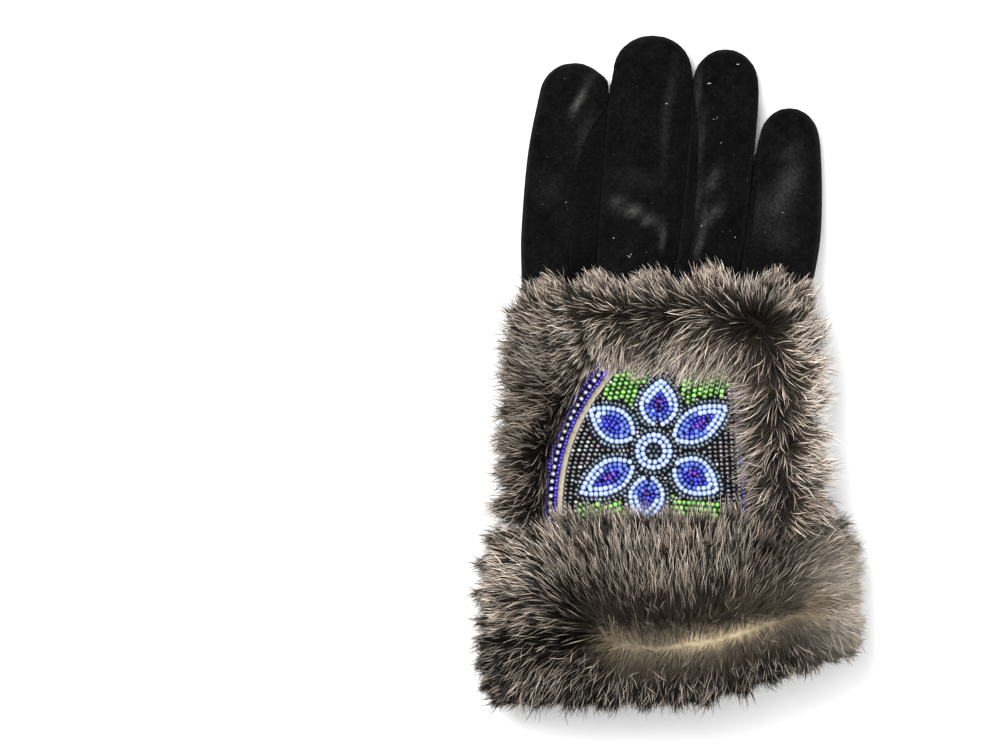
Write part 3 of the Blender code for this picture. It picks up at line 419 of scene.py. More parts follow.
def round_tips(points, turns, stretches):
    for tip, stretch in zip(TIPS, stretches):
        turn, reach, own = tip_reach(points, tip)
        grow = 1 + (np.interp(turn, turns, stretch) - 1) * smooth_step(0.3, 0.8, reach / tip.radius)
        middle = np.array([tip.x, tip.y])
        points[own, :2] = middle + (points[own, :2] - middle) * grow[own, None]


def suede_piece(node, points, normals, faces):
    x, y, z = points.T
    flat = smooth_step(0.35, 0.85, np.abs(normals[:, 2]))
    rise = 0.22 * ripple(x, y, 16) + 0.12 * ripple(y, x, 7, 1.0)
    # Painted highlight: a faint lighter line where the suede rolls over at its edges, chosen by which way the
    # surface faces.
    shade = 0.004 * np.exp(-(((normals[:, 2] - 0.45) / 0.16) ** 2))
    if node == "hand_back":
        for fold in FOLDS:
            rise += fold.rise * mark_share(fold, x, y)
        # Wear and painted highlights on ridges and folds, added as lighter colour.
        for wear_highlight in WEAR_AND_HIGHLIGHTS:
            shade += wear_highlight.lift * mark_share(wear_highlight, x, y) * (1.1 + 0.12 * ripple(x, y, 3.7, 2.0))
    points[:, 2] = np.maximum(z + rise * flat, 0.0)
    points[:, :2] += normals[:, :2] * FINGER_SWELL * smooth_step(30, 50, y)[:, None]
    tone = 1 + 0.25 * ripple(x, y, 23, 0.5) + 0.25 * ripple(y, x, 7.1, 1.9) + 0.2 * ripple(x, y, 4.3, 0.2)
    paint = SUEDE_COLOUR * tone[:, None] + HIGHLIGHT_AND_WEAR_COLOUR * np.maximum(shade, 0)[:, None]
    piece = add_mesh("suede_" + node.removeprefix("hand_"), points, faces, "suede", paint)
    finish_piece(piece, "suede", node)


def suede_pieces():
    pieces = {node: soft_copy(node, levels) for node, levels in SUEDE_LEVELS.items()}
    turns, stretches = tip_stretch(pieces["hand_back"][0])
    for node, (points, normals, faces) in pieces.items():
        round_tips(points, turns, stretches)
        suede_piece(node, points, normals, faces)
    lint(np.random.default_rng(SEED + 7))


LINT_STEPS = (-0.5, -0.2, 0.15, 0.5)  # along a fleck, as shares of its length


def lint(random):
    """White flecks of fibre that lie on the suede."""
    tree = BVHTree.FromObject(bpy.data.objects["suede_back"], bpy.context.evaluated_depsgraph_get())
    flecks = list(LINT)
    for x, y in random.uniform((-50, 32), (48, 116), (60, 2)):
        flecks.append(Lint(x, y, random.uniform(0, 180), random.uniform(0.2, 0.45)))
    rows = []
    for fleck in flecks:
        ahead, aside = bearings(fleck.turn)
        spots = []
        for step in LINT_STEPS:
            bend = 0.12 * math.sin(7 * step + fleck.x)
            x, y = (fleck.x, fleck.y) + fleck.length * (step * ahead + bend * aside)
            hit = tree.ray_cast(Vector((x, y, RAY_START)) * MM, Vector((0, 0, -1)))[0]
            if hit:
                spots.append((x, y, hit.z / MM + 0.12))
        if len(spots) == len(LINT_STEPS):
            rows.append(spots)
    points = np.array(rows)
    bold = np.arange(len(points)) < len(LINT)
    paint = np.ones(points.shape) * np.where(bold, 0.55, 0.10)[:, None, None]
    up = np.tile([0.0, 0.0, 1.0], (len(points), 1))
    widths = np.where(bold, 0.22, 0.18)
    finish_piece(strands("lint", points, widths, up, paint, (0.7, 1.0, 1.0, 0.0), random), "suede")


# The panel and its beads

(PANEL_LEFT, PANEL_LOW, _), (PANEL_RIGHT, PANEL_HIGH, _) = node_box("hide_panel")


CENTRE = (node_box("flower_centre")[0] + node_box("flower_centre")[1]) / 2
CENTRE_X, CENTRE_Y = CENTRE.x, CENTRE.y
CENTRE_PLACE = np.array([CENTRE_X, CENTRE_Y])
HIDE_TREE = node_tree("hide_panel")
HIDE_HEIGHT = 30.0  # used where no hide is found


def hide_height(x, y):
    """Top of the hide panel, also a little way past its edge."""
    for reach in (0.0, 1.0, 2.0, 3.0):
        for side in (-1, 1):
            height = height_under(HIDE_TREE, x - side * reach, y)
            if height is not None:
                return height
    return HIDE_HEIGHT


def panel_edge(share, side):
    """The panel's edge on the thumb's side (-1) or little finger's side (1), share 0 at the bottom."""
    if side < 0:
        x = PANEL_LEFT + PANEL_THUMB_BOW * max(share, 0) ** PANEL_BOW_POWER
    else:
        x = PANEL_RIGHT - PANEL_SIDE_LEAN * share
    return np.array([x, PANEL_LOW + (PANEL_HIGH - PANEL_LOW) * share])


def inset_edge(side, inset, steps=40):
    """Points up one side of the panel, moved in from its edge."""
    points = []
    for step in range(steps + 1):
        share = step / steps
        along = unit(panel_edge(share + 0.01, side) - panel_edge(share - 0.01 * (share > 0), side))
        inward = np.array([along[1], -along[0]]) if side < 0 else np.array([-along[1], along[0]])
        points.append(panel_edge(share, side) + inward * inset)
    return np.array(points)


def petal_shape(petal, steps=40):
    """Closed outline of a pointed petal, from its root round the tip."""
    outward, sideways = bearings(petal.turn)
    shares = np.linspace(-0.12, 1.0, steps)
    wide = (0.08 + 0.92 * shares).clip(0.02)
    half = PETAL_WIDTH * petal.width / 2 * np.sin(math.pi * wide**0.85).clip(0) ** 0.75
    reach = PETAL_START + PETAL_LENGTH * petal.length * shares
    middle = CENTRE_PLACE + outward * reach[:, None]
    aside = sideways * half[:, None]
    return np.concatenate([middle + aside, (middle - aside)[-2::-1]])


def leaf_shape(leaf, steps=60):
    outward, sideways = bearings(leaf.turn)
    angles = np.linspace(0, 2 * math.pi, steps, endpoint=False)
    middle = CENTRE_PLACE + outward * LEAF_LENGTH * leaf.reach
    ring = outward * (LEAF_LENGTH / 2 * np.cos(angles))[:, None]
    return middle + ring + sideways * (LEAF_WIDTH / 2 * np.sin(angles))[:, None]


FIELD_INSETS = {-1: EDGING_WIDTH + HIDE_STRIP, 1: EDGING_WIDTH - 0.4}  # where the bead field starts


def field_shape(inset):
    sides = [inset_edge(side, FIELD_INSETS[side] + inset) for side in (1, -1)]
    return np.concatenate([sides[0], sides[1][::-1]])


def inside(shape, x, y):
    """True where (x, y) lies inside a closed outline."""
    crossed = False
    for (ax, ay), (bx, by) in zip(shape, np.roll(shape, -1, axis=0)):
        if (ay > y) != (by > y) and x < ax + (y - ay) / (by - ay) * (bx - ax):
            crossed = not crossed
    return crossed


def nearest_gap(shape, x, y):
    """Distance from (x, y) to a closed outline."""
    start, end = shape, np.roll(shape, -1, axis=0)
    run = end - start
    share = ((np.array([x, y]) - start) * run).sum(1) / np.maximum((run**2).sum(1), 1e-9)
    foot = start + run * share.clip(0, 1)[:, None]
    return float(np.linalg.norm(foot - (x, y), axis=1).min())


def inner_row(shape, depth, fineness=0.35):
    """A row that runs round a closed outline at a depth inside it, as an open run of points."""
    places, headings = along_path(np.concatenate([shape, shape[:1]]), fineness)
    normals = np.stack([-headings[:, 1], headings[:, 0]], 1)
    if not inside(shape, *(places[0] + normals[0] * 0.3)):
        normals = -normals
    moved = places + normals * depth
    kept = [point for point in moved if inside(shape, *point) and nearest_gap(shape, *point) > depth - 0.12]
    return np.array(kept) if kept else np.empty((0, 2))


def along_path(path, pitch, start=0.5):
    """Places and headings at even steps along a path of points."""
    lengths = np.concatenate([[0.0], np.cumsum(np.linalg.norm(np.diff(path, axis=0), axis=1))])
    count = max(1, int(round(lengths[-1] / pitch)))
    at = (np.arange(count) + start) * lengths[-1] / count
    places, ahead, behind = (
        np.stack([np.interp(at + step, lengths, path[:, axis]) for axis in (0, 1)], 1) for step in (0.0, 0.3, -0.3)
    )
    return places, unit(ahead - behind)


# A kind of bead: colour of its shaded sides and of the painted highlight on its top (on the lined green beads partly
# the lining's own colour), how much both vary, half its length, its radius, and how small the painted highlight on
# top is.
BeadKind = namedtuple("BeadKind", "deep light spread half_length radius focus")
GUNMETAL = BeadKind((0.002, 0.002, 0.003), (0.155, 0.155, 0.16), 0.70, 0.74, 0.95, 5.0)
IRIS = BeadKind((0.003, 0.007, 0.013), (0.10, 0.13, 0.165), 0.55, 0.75, 0.96, 3.6)
PALE = BeadKind((0.12, 0.17, 0.42), (0.44, 0.555, 0.86), 0.07, 0.86, 1.03, 1.0)
SKY = BeadKind((0.03, 0.05, 0.34), (0.12, 0.19, 0.66), 0.25, 0.76, 0.92, 1.4)
COBALT = BeadKind((0.005, 0.006, 0.13), (0.028, 0.036, 0.38), 0.40, 0.74, 0.92, 1.8)
PURPLE = BeadKind((0.014, 0.002, 0.06), (0.085, 0.018, 0.21), 0.45, 0.74, 0.92, 1.8)
GREEN = BeadKind((0.006, 0.085, 0.018), (0.25, 0.52, 0.10), 0.45, 0.82, 1.00, 3.4)
ROYAL = BeadKind((0.006, 0.002, 0.12), (0.05, 0.03, 0.48), 0.35, 0.74, 0.98, 2.0)
CLEAR = BeadKind((0.05, 0.04, 0.16), (0.74, 0.75, 0.82), 0.10, 0.74, 0.86, 1.2)

BARREL = ((-1.0, 0.52), (-0.66, 0.92), (0.0, 1.0), (0.66, 0.92), (1.0, 0.52))
BARREL_SIDES = 8


class BeadString:
    """Gathers beads for one piece, and keeps new ones off those that lie already."""

    laid = []

    def __init__(self, seed):
        self.beads = []
        self.random = np.random.default_rng(SEED + seed)

    def lay(self, places, headings, kinds, nearest=0.0):
        """Lays beads of one kind or a list of kinds along a row, none nearer than this to those of other rows."""
        if isinstance(kinds, BeadKind):
            kinds = [kinds] * len(places)
        others = np.array(BeadString.laid) if nearest else []
        row = [
            bead for bead in zip(places, headings, kinds)
            if not len(others) or np.linalg.norm(others - bead[0], axis=1).min() >= nearest
        ]
        self.beads += row
        BeadString.laid += [tuple(place) for place, _, _ in row]

    def seat(self, place, heading, lift, step=1.2):
        """A bead's middle, its direction and its upward direction on the hide."""
        x, y = place
        slope_x = (hide_height(x + step, y) - hide_height(x - step, y)) / (2 * step)
        slope_y = (hide_height(x, y + step) - hide_height(x, y - step)) / (2 * step)
        top = unit(np.array([-slope_x, -slope_y, 1.0]))
        run = np.array([*heading, 0.0])
        run = unit(run - top * run.dot(top))
        jitter = self.random.normal(0, 0.05, 3)
        centre = np.array([x, y, hide_height(x, y)]) + top * lift + jitter * (1, 1, 0.8)
        along = unit(run + self.random.normal(0, 0.06, 3))
        return centre, along, unit(top - along * top.dot(along))

    def build(self, name, material, slot, *replaced, lift=BEAD_LIFT):
        count = len(self.beads)
        seats = [self.seat(place, heading, lift) for place, heading, _ in self.beads]
        centres, along, up = (np.array(part)[:, None] for part in zip(*seats))
        side = np.cross(along, up)
        kinds = [kind for _, _, kind in self.beads]
        deep, light, spread, half, radius, focus = (np.array(values) for values in zip(*kinds))
        half = half * self.random.normal(1, 0.05, count)
        radius = radius * self.random.normal(1, 0.035, count)
        tone = np.exp(self.random.normal(0, 1, count) * spread)[:, None, None]
        hue = 1 + self.random.normal(0, 1, (count, 1, 3)) * 0.12 * spread[:, None, None]
        angles = (2 * math.pi * (np.arange(BARREL_SIDES) + 0.5) / BARREL_SIDES)[None, :, None]
        around = up * np.cos(angles) + side * np.sin(angles)
        rings, shades = [], []
        for place, wide in BARREL:
            ring = centres + along * (half * place)[:, None, None]
            rings.append(ring + around * (radius * wide)[:, None, None])
            # Painted highlight on each bead's top and painted shade down its sides, by the way each point faces.
            highlight_share = (smooth_step(-0.2, 1.0, np.cos(angles)) * (1 - 0.55 * abs(place) ** 2)) ** focus[:, None, None]
            shades.append((deep[:, None] * (1 - highlight_share) + light[:, None] * highlight_share) * tone * hue)
        turns = np.arange(BARREL_SIDES)
        after = (turns + 1) % BARREL_SIDES
        low = BARREL_SIDES * np.arange(len(BARREL) - 1)[:, None]
        high = low + BARREL_SIDES
        faces = np.stack([low + turns, low + after, high + after, high + turns], 2).reshape(1, -1, 4)
        faces = faces + (np.arange(count) * len(BARREL) * BARREL_SIDES)[:, None, None]
        points, paint = (np.stack(rows, 1).reshape(-1, 3) for rows in (rings, shades))
        finish_piece(add_mesh(name, points, faces.reshape(-1, 4), material, paint), slot, *replaced)


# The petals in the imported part's order: degrees, shares of length and width, and the share of the second
# row, from its root, that is blue.
Petal = namedtuple("Petal", "turn length width blue")
PETALS = [Petal(*row) for row in (
    (83.5, 0.94, 1.02, 0.45), (146.5, 1.02, 0.94, 0.62), (210, 1.17, 0.92, 0.40), (261, 0.94, 0.97, 0.40),
    (328, 1.00, 1.00, 0.55), (31, 1.20, 0.92, 0.45),
)]
Leaf = namedtuple("Leaf", "turn reach row_turn")
LEAVES = (Leaf(55, 1.14, 84), Leaf(112, 1.02, 72), Leaf(230, 1.02, 18), Leaf(303, 0.95, -4))
PALE_PITCH, BLUE_PITCH, DARK_PITCH = 1.76, 1.6, 1.58
LEAF_PITCH, LEAF_ROW_PITCH = 1.72, 1.98
PETAL_ROWS = (1.92, 3.80, 5.45, 6.90)  # depth of each row inside the dark outline
FILL_GAP = 1.38  # small dark beads fill gaps wider than this
PETAL_CLEARANCE, OUTLINE_CLEARANCE = 9.3, 9.2  # from the flower's middle
DARK_RING = (7.9, 29)  # radius and count of the dark ring round the centre
EDGING_ROWS = (0.65, 2.65, 4.30)  # insets of an edging's outer, middle and inner row
EDGING_LIFT, CRYSTAL_LIFT = 1.45, 1.75
CENTRE_ROWS = ((1.85, IRIS, 6), (4.00, PALE, 13), (5.95, PALE, 20))


def ring_row(radius, count):
    angles = 2 * math.pi * np.arange(count) / count
    places = np.stack([CENTRE_X + radius * np.cos(angles), CENTRE_Y + radius * np.sin(angles)], 1)
    return places, np.stack([-np.sin(angles), np.cos(angles)], 1)


def clear_places(field, places, gap):
    """Which places lie on the field and further than this from the flower's middle."""
    away = np.linalg.norm(places - CENTRE_PLACE, axis=1) > gap
    return [n for n, place in enumerate(places) if away[n] and inside(field, *place)]


def flower_centre():
    string = BeadString(1)
    string.lay([CENTRE_PLACE], [np.array([1.0, 0.0])], IRIS)
    for radius, kind, count in CENTRE_ROWS:
        string.lay(*ring_row(radius, count), kind)
    string.build("centre_beads", "pale_beads", "pale_beads", "flower_centre")


def petal_kinds(petal, row, places, random):
    reach = (places - CENTRE_PLACE) @ bearings(petal.turn)[0]
    shares = (reach - PETAL_START) / (PETAL_LENGTH * petal.length)
    kinds = []
    for share in shares:
        if row == 0:
            kinds.append(PALE)
        elif row == 1:
            kinds.append(SKY if share < petal.blue else PALE)
        elif row == 2:
            kinds.append(SKY if share < 0.35 and random.random() < 0.5 else COBALT)
        else:
            kinds.append(PURPLE if random.random() < 0.65 else COBALT)
    return kinds


def petals(field):
    for number, petal in enumerate(PETALS, 1):
        shape = petal_shape(petal)
        string = BeadString(10 + number)
        for row, depth in enumerate(PETAL_ROWS):
            path = inner_row(shape, depth)
            if len(path) < 3:
                continue
            places, headings = along_path(path, PALE_PITCH if row < 2 else BLUE_PITCH)
            kinds = petal_kinds(petal, row, places, string.random)
            near = clear_places(field, places, PETAL_CLEARANCE)
            string.lay(places[near], headings[near], [kinds[n] for n in near], 1.35 if row else 1.0)
        string.build(f"petal_beads_{number}", "pale_beads", "pale_beads", f"petal_{number}")


def dark_outlines(string, field):
    string.lay(*ring_row(*DARK_RING), IRIS, 1.2)
    for petal in PETALS:
        shape = petal_shape(petal)
        places, headings = along_path(np.concatenate([shape, shape[:1]]), DARK_PITCH)
        near = clear_places(field, places, OUTLINE_CLEARANCE)
        string.lay(places[near], headings[near], IRIS, 1.28)


def leaves(field):
    for number, leaf in enumerate(LEAVES, 1):
        shape = leaf_shape(leaf)
        string = BeadString(30 + number)
        heading, sideways = bearings(leaf.row_turn)
        for row in range(-9, 10):
            steps = (np.arange(-12, 13) + 0.5 * (row % 2)) * LEAF_PITCH
            places = shape.mean(0) + sideways * row * LEAF_ROW_PITCH + heading * steps[:, None]
            kept = [place for place in places if inside(shape, *place) and inside(field, *place)]
            string.lay(kept, [heading] * len(kept), GREEN, 1.62)
        string.build(f"leaf_beads_{number}", "green_beads", "green_beads", f"leaf_{number}")


def ground_columns(string, field):
    """Columns of dark beads that follow the panel's two long sides and fill what the flower leaves."""
    for side, columns in ((-1, 14), (1, 12)):
        for column in range(columns):
            path = inset_edge(side, FIELD_INSETS[side] + 0.95 + column * COLUMN_PITCH)
            places, headings = along_path(path, DARK_PITCH)
            kept = [n for n, place in enumerate(places) if inside(field, *place)]
            string.lay(places[kept], headings[kept], GUNMETAL, 1.42)
    small = GUNMETAL._replace(half_length=0.66, radius=0.86)
    start, end = field.min(0), field.max(0)
    grid = np.mgrid[start[0]:end[0]:0.35, start[1]:end[1]:0.35].reshape(2, -1).T
    laid = np.array(BeadString.laid)
    gaps = np.array([np.linalg.norm(laid - spot, axis=1).min() for spot in grid])
    for spot in grid[gaps > FILL_GAP]:
        if inside(field, *spot):
            string.lay([spot], [unit(spot - CENTRE_PLACE)], small, FILL_GAP)


def backing(name, left, right, columns, shade, slot):
    """A thin strip of black cloth between two lines up the panel."""
    flat = left[:, None] + (right - left)[:, None] * np.arange(columns + 1)[:, None] / columns
    flat = flat.reshape(-1, 2)
    heights = np.array([hide_height(x, y) for x, y in flat])
    points = np.concatenate([np.column_stack([flat, heights + layer]) for layer in (0.15, BACKING_LIFT + 0.15)])
    block = len(flat)
    grid = np.arange(block).reshape(-1, columns + 1)
    a, b, c, d = grid[:-1, :-1].ravel(), grid[:-1, 1:].ravel(), grid[1:, 1:].ravel(), grid[1:, :-1].ravel()
    rim = np.concatenate([grid[0], grid[1:, -1], grid[-1, -2::-1], grid[-2:0:-1, 0]])
    after = np.roll(rim, -1)
    corners = ((a + block, b + block, c + block, d + block), (a, d, c, b), (rim, after, after + block, rim + block))
    faces = np.concatenate([np.stack(four, 1) for four in corners])
    finish_piece(add_mesh(name, points, faces, "cloth", np.tile(shade, (len(points), 1))), slot)


def edging(side, name, seed):
    """A ladder of beads: a clear bead on each rung between a close row outside and one inside."""
    string, crystals = BeadString(seed), BeadString(seed + 1)
    outer, middle, inner = (inset_edge(side, inset) for inset in EDGING_ROWS)
    string.lay(*along_path(outer, RUNG_PITCH / 2), ROYAL._replace(radius=1.12))
    places, headings = along_path(middle, RUNG_PITCH)
    across = np.stack([headings[:, 1], -headings[:, 0]], 1) * (1 if side < 0 else -1)
    crystals.lay(places, across, CLEAR)
    string.lay(*along_path(inner, RUNG_PITCH), ROYAL._replace(half_length=0.80, radius=0.92))
    between, headings = along_path(inner, RUNG_PITCH, 1.0)
    string.lay(between[:-1], headings[:-1], ROYAL._replace(half_length=0.52, radius=0.72))
    string.build(f"edge_beads_{name}_cobalt", "cobalt_beads", "cobalt_beads", f"edge_beads_{name}", lift=EDGING_LIFT)
    crystals.build(f"edge_beads_{name}_clear", "crystal", "cobalt_beads", lift=CRYSTAL_LIFT)


def hide_piece():
    points, normals, faces = soft_copy("hide_panel", 1)
    x, y, _ = points.T
    tone = 1 + 0.08 * ripple(x, y, 9) + 0.05 * ripple(y, x, 3.1, 1.0)
    paint = np.array([0.46, 0.40, 0.30]) * tone[:, None]
    finish_piece(add_mesh("tanned_hide", points, faces, "hide", paint), "hide", "hide_panel")


def bead_panel():
    field = field_shape(0.6)
    hide_piece()
    left, right = (inset_edge(side, FIELD_INSETS[side] + 0.1, 24) for side in (-1, 1))
    backing("bead_backing", left, right, 30, (0.005, 0.005, 0.006), "dark_beads")
    for side, name in ((-1, "thumb_side"), (1, "little_side")):
        lines = [inset_edge(side, inset, 32) for inset in (0.15, EDGING_WIDTH - 0.35)]
        if side > 0:
            lines.reverse()
        backing(f"edge_backing_{name}", *lines, 3, (0.004, 0.002, 0.02), "cobalt_beads")
    flower_centre()
    petals(field)
    ground = BeadString(3)
    dark_outlines(ground, field)
    leaves(field)
    ground_columns(ground, field)
    ground.build("ground_beads", "dark_beads", "dark_beads", "bead_ground")
    edging(-1, "thumb_side", 50)
    edging(1, "little_side", 60)


# Fur

# How the hair lies, in rows of x, y, heading in degrees from +X, degrees that its root lifts off the skin,
# and length of guard hair.
FRAME_COMB = (
    (-56, 20, 145, 38, 13), (-58, 0, 165, 34, 13), (-58, -25, 176, 32, 13), (-60, -45, 184, 32, 13),
    (-50, 8, 160, 42, 13), (-48, -20, 172, 38, 12), (-50, -42, 190, 36, 12), (-44, 28, 128, 36, 9),
    (-30, 31, 122, 36, 9), (-16, 30, 112, 38, 9), (2, 29, 118, 38, 10), (18, 31, 92, 40, 11),
    (32, 30, 72, 38, 10), (46, 22, 48, 36, 10), (-33, 13, 196, 40, 11), (-24, 12, 256, 20, 13),
    (-10, 12, 246, 20, 15), (4, 12, 236, 20, 17), (16, 11, 238, 18, 20), (27, 6, 232, 18, 18),
    (32, -4, 212, 18, 16), (33, -22, 202, 18, 15), (34, -42, 200, 18, 14), (42, 8, 18, 42, 13),
    (44, -10, 4, 40, 13), (45, -30, -4, 38, 13), (44, -46, -14, 38, 13), (56, 5, 16, 34, 13),
    (57, -20, 2, 34, 13), (58, -42, -8, 34, 13),
)
WRIST_COMB = (
    (-66, -50, 158, 34, 9), (-66, -66, 172, 34, 9), (-66, -84, 190, 34, 9), (-50, -60, 142, 38, 13),
    (-50, -76, 170, 38, 13), (-46, -88, 196, 36, 12), (-36, -58, 112, 34, 14), (-34, -76, 118, 36, 14),
    (-20, -60, 96, 32, 14), (-16, -80, 100, 34, 14), (0, -60, 92, 32, 14), (4, -82, 94, 34, 14),
    (18, -60, 86, 32, 14), (20, -80, 84, 34, 14), (32, -60, 72, 36, 13), (34, -80, 62, 36, 13),
    (46, -62, 30, 38, 12), (48, -78, 22, 38, 12), (62, -60, 4, 34, 10), (66, -78, 6, 32, 8),
)
HEM_COMB = (
    (-66, -92, 194, 34, 9), (-64, -108, 214, 32, 9), (-48, -96, 212, 36, 13), (-46, -112, 236, 32, 10),
    (-28, -100, 232, 34, 13), (-24, -116, 256, 32, 10), (-6, -102, 250, 32, 12), (0, -118, 262, 32, 9),
    (18, -102, 262, 32, 11), (24, -114, 272, 32, 9), (38, -98, 282, 32, 10), (44, -110, 292, 32, 8),
    (58, -92, 318, 30, 9), (64, -102, 318, 30, 7), (66, -84, 352, 28, 7),
)
# The parting between the wrist's fur and the hem's, where the pale roots show.
PARTING = np.array([
    (-34, -90), (-20, -98.5), (-6, -100), (6, -98.2), (15, -97), (25, -94), (33, -91), (42, -88.5),
    (49, -85.5), (53.5, -78.5),
])

HairKind = namedtuple("HairKind", "segments length width lift bend clump scatter curl profile colours")
# Colours of a hair from root to tip. The dark roots are partly the hair's own colour and partly painted shade for
# the shadow deep in the fur.
UNDER = HairKind(
    3, 0.62, 0.30, 1.25, 0.75, 0.16, 12.0, 0.05, (1.0, 0.9, 0.6, 0.0),
    ((0.004, 0.0031, 0.0024), (0.010, 0.0078, 0.0060), (0.031, 0.0235, 0.0172), (0.055, 0.0415, 0.0305)),
)
GUARD = HairKind(
    4, 1.0, 0.34, 1.0, 0.8, 0.25, 11.0, 0.08, (0.7, 1.0, 0.9, 0.6, 0.0),
    (
        (0.004, 0.0032, 0.0025), (0.011, 0.0087, 0.0068), (0.046, 0.035, 0.026), (0.475, 0.388, 0.315),
        (0.92, 0.82, 0.715),
    ),
)
CREAM = np.array([0.46, 0.375, 0.24])
FLUFF = np.array([0.53, 0.465, 0.39])
BROWN = np.array([0.122, 0.098, 0.073])
SKIN_COLOUR = np.array([0.011, 0.0088, 0.0068])
FUR_VOXEL = 1.6  # grain of the underfur's remesh
ROOT_DEPTH = 0.4  # hair starts this far under the underfur
STRAND_FLOOR = 0.05  # no strand reaches lower
# Darker patches on the fur: partly its dark roots showing where it parts, partly painted shade in its creases and
# beside the panel's edge.
# The depth is the share of the light that is lost; below 0 the fur is painted lighter there, as painted light.
LightAndShade = namedtuple("LightAndShade", "x y reach depth")
PAINTED_LIGHT_AND_SHADE = [LightAndShade(*row) for row in (
    (-31, -87, 8, 0.75), (-22, -90, 6, 0.75), (34, -71, 8, 0.75), (44, -66, 7, 0.6), (-8, 17, 6, 0.7),
    (26, 16, 6, 0.4), (29, 5, 6, 0.7), (30, -10, 7, 0.85), (31, -26, 7, 0.85), (32, -42, 7, 0.85),
    (-52, 2, 20, 0.48), (-52, -30, 20, 0.48), (50, 2, 13, -0.90), (50, -20, 13, -0.90), (50, -38, 11, -0.35),
    (-53, -76, 16, -0.55),
)]


def fur_body(node, rounds, levelling):
    """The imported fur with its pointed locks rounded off: the dense underfur that hair grows from."""
    drawn = placed_copy(node, node_mesh(node))
    modify(drawn, "REMESH", mode="VOXEL", voxel_size=FUR_VOXEL)
    modify(drawn, "SMOOTH", factor=0.5, iterations=rounds)
    points, normals, faces, edges = modified(drawn)
    bpy.data.objects.remove(drawn)
    levelled(points, normals[:, 2], edges, levelling)
    points[:, 2] = np.maximum(points[:, 2], 0.0)
    return points, vertex_normals(points, faces), faces


def levelled(points, facing_up, edges, rounds):
    """Evens out the rows of locks where the fur faces up."""
    ends = np.concatenate([edges, edges[:, ::-1]])
    count = len(points)
    neighbours = np.bincount(ends[:, 0], minlength=count)
    share = 0.6 * smooth_step(0.35, 0.85, facing_up)
    for _ in range(rounds):
        around = np.bincount(ends[:, 0], points[ends[:, 1], 2], minlength=count) / neighbours
        points[:, 2] += share * (around - points[:, 2])


def face_areas(points, faces):
    """A vector along each face's normal, twice as long as its area."""
    corners = points[faces]
    return np.cross(corners[:, 2] - corners[:, 0], corners[:, 3] - corners[:, 1])


def vertex_normals(points, faces):
    across = face_areas(points, faces)
    sums = [
        sum(np.bincount(faces[:, corner], across[:, axis], minlength=len(points)) for corner in range(4))
        for axis in range(3)
    ]
    return unit(np.stack(sums, 1))


def sample_surface(points, normals, faces, weights, count, random):
    """Random places on a surface with their normals. weights is each face's share per area."""
    chance = np.linalg.norm(face_areas(points, faces), axis=1) / 2 * weights
    chosen = random.choice(len(faces), count, p=chance / chance.sum())
    u, v = random.random((2, count, 1))
    shares = ((1 - u) * (1 - v), u * (1 - v), u * v, (1 - u) * v)
    place = sum(points[faces[chosen, n]] * share for n, share in enumerate(shares))
    normal = unit(sum(normals[faces[chosen, n]] * share for n, share in enumerate(shares)))
    return place, normal


def comb_at(x, y, combs):
    """Heading, lift and length at each place, from the nearest rows of a table."""
    table = np.array(combs)
    gaps = (x[:, None] - table[:, 0]) ** 2 + (y[:, None] - table[:, 1]) ** 2
    weight = 1 / (gaps + 4.0) ** 2
    weight /= weight.sum(1, keepdims=True)
    turns = np.radians(table[:, 2])
    heading = np.arctan2(weight @ np.sin(turns), weight @ np.cos(turns))
    return heading, weight @ table[:, 3], weight @ table[:, 4]


def parting_gap(x, y):
    """Distance from each place to the parting."""
    best = np.full(len(x), 1e9)
    here = np.stack([x, y], 1)
    for start, end in zip(PARTING, PARTING[1:]):
        run = end - start
        share = ((here - start) @ run / run.dot(run)).clip(0, 1)
        best = np.minimum(best, np.linalg.norm(here - start - share[:, None] * run, axis=1))
    return best


def above_parting(x, y):
    """True for 30 mm above the parting, where hair lies up the glove, away from it."""
    rise = y - np.interp(x, PARTING[:, 0], PARTING[:, 1])
    return (rise > 0) & (rise < 30) & (x > PARTING[0, 0]) & (x < PARTING[-1, 0])


def soft_shares(place):
    """Where the fur is smooth down: the pale roots of the parting, the pale fluff by it, and both with the
    brown down around them."""
    x, y, z = place.T
    near = smooth_step(-34, -14, x) * smooth_step(0.0, 14.0, z - 18)
    gap = parting_gap(x, y)
    along = 0.3 + 0.7 * np.exp(-(((x - 16) / 15) ** 4))
    spot = 0.8 * np.exp(-((x - 50.5) ** 2 + (y + 85) ** 2) / 5.0**2)
    glow = np.maximum(np.exp(-((gap / 1.25) ** 2)) * near * along, spot)
    fluff = np.exp(-(((x - 64) / 13) ** 2) - ((y + 80) / 17) ** 2)
    reach = np.where(above_parting(x, y), 11.0, 6.0)
    return glow, fluff, np.maximum(np.exp(-((gap / reach) ** 2)) * near, fluff)


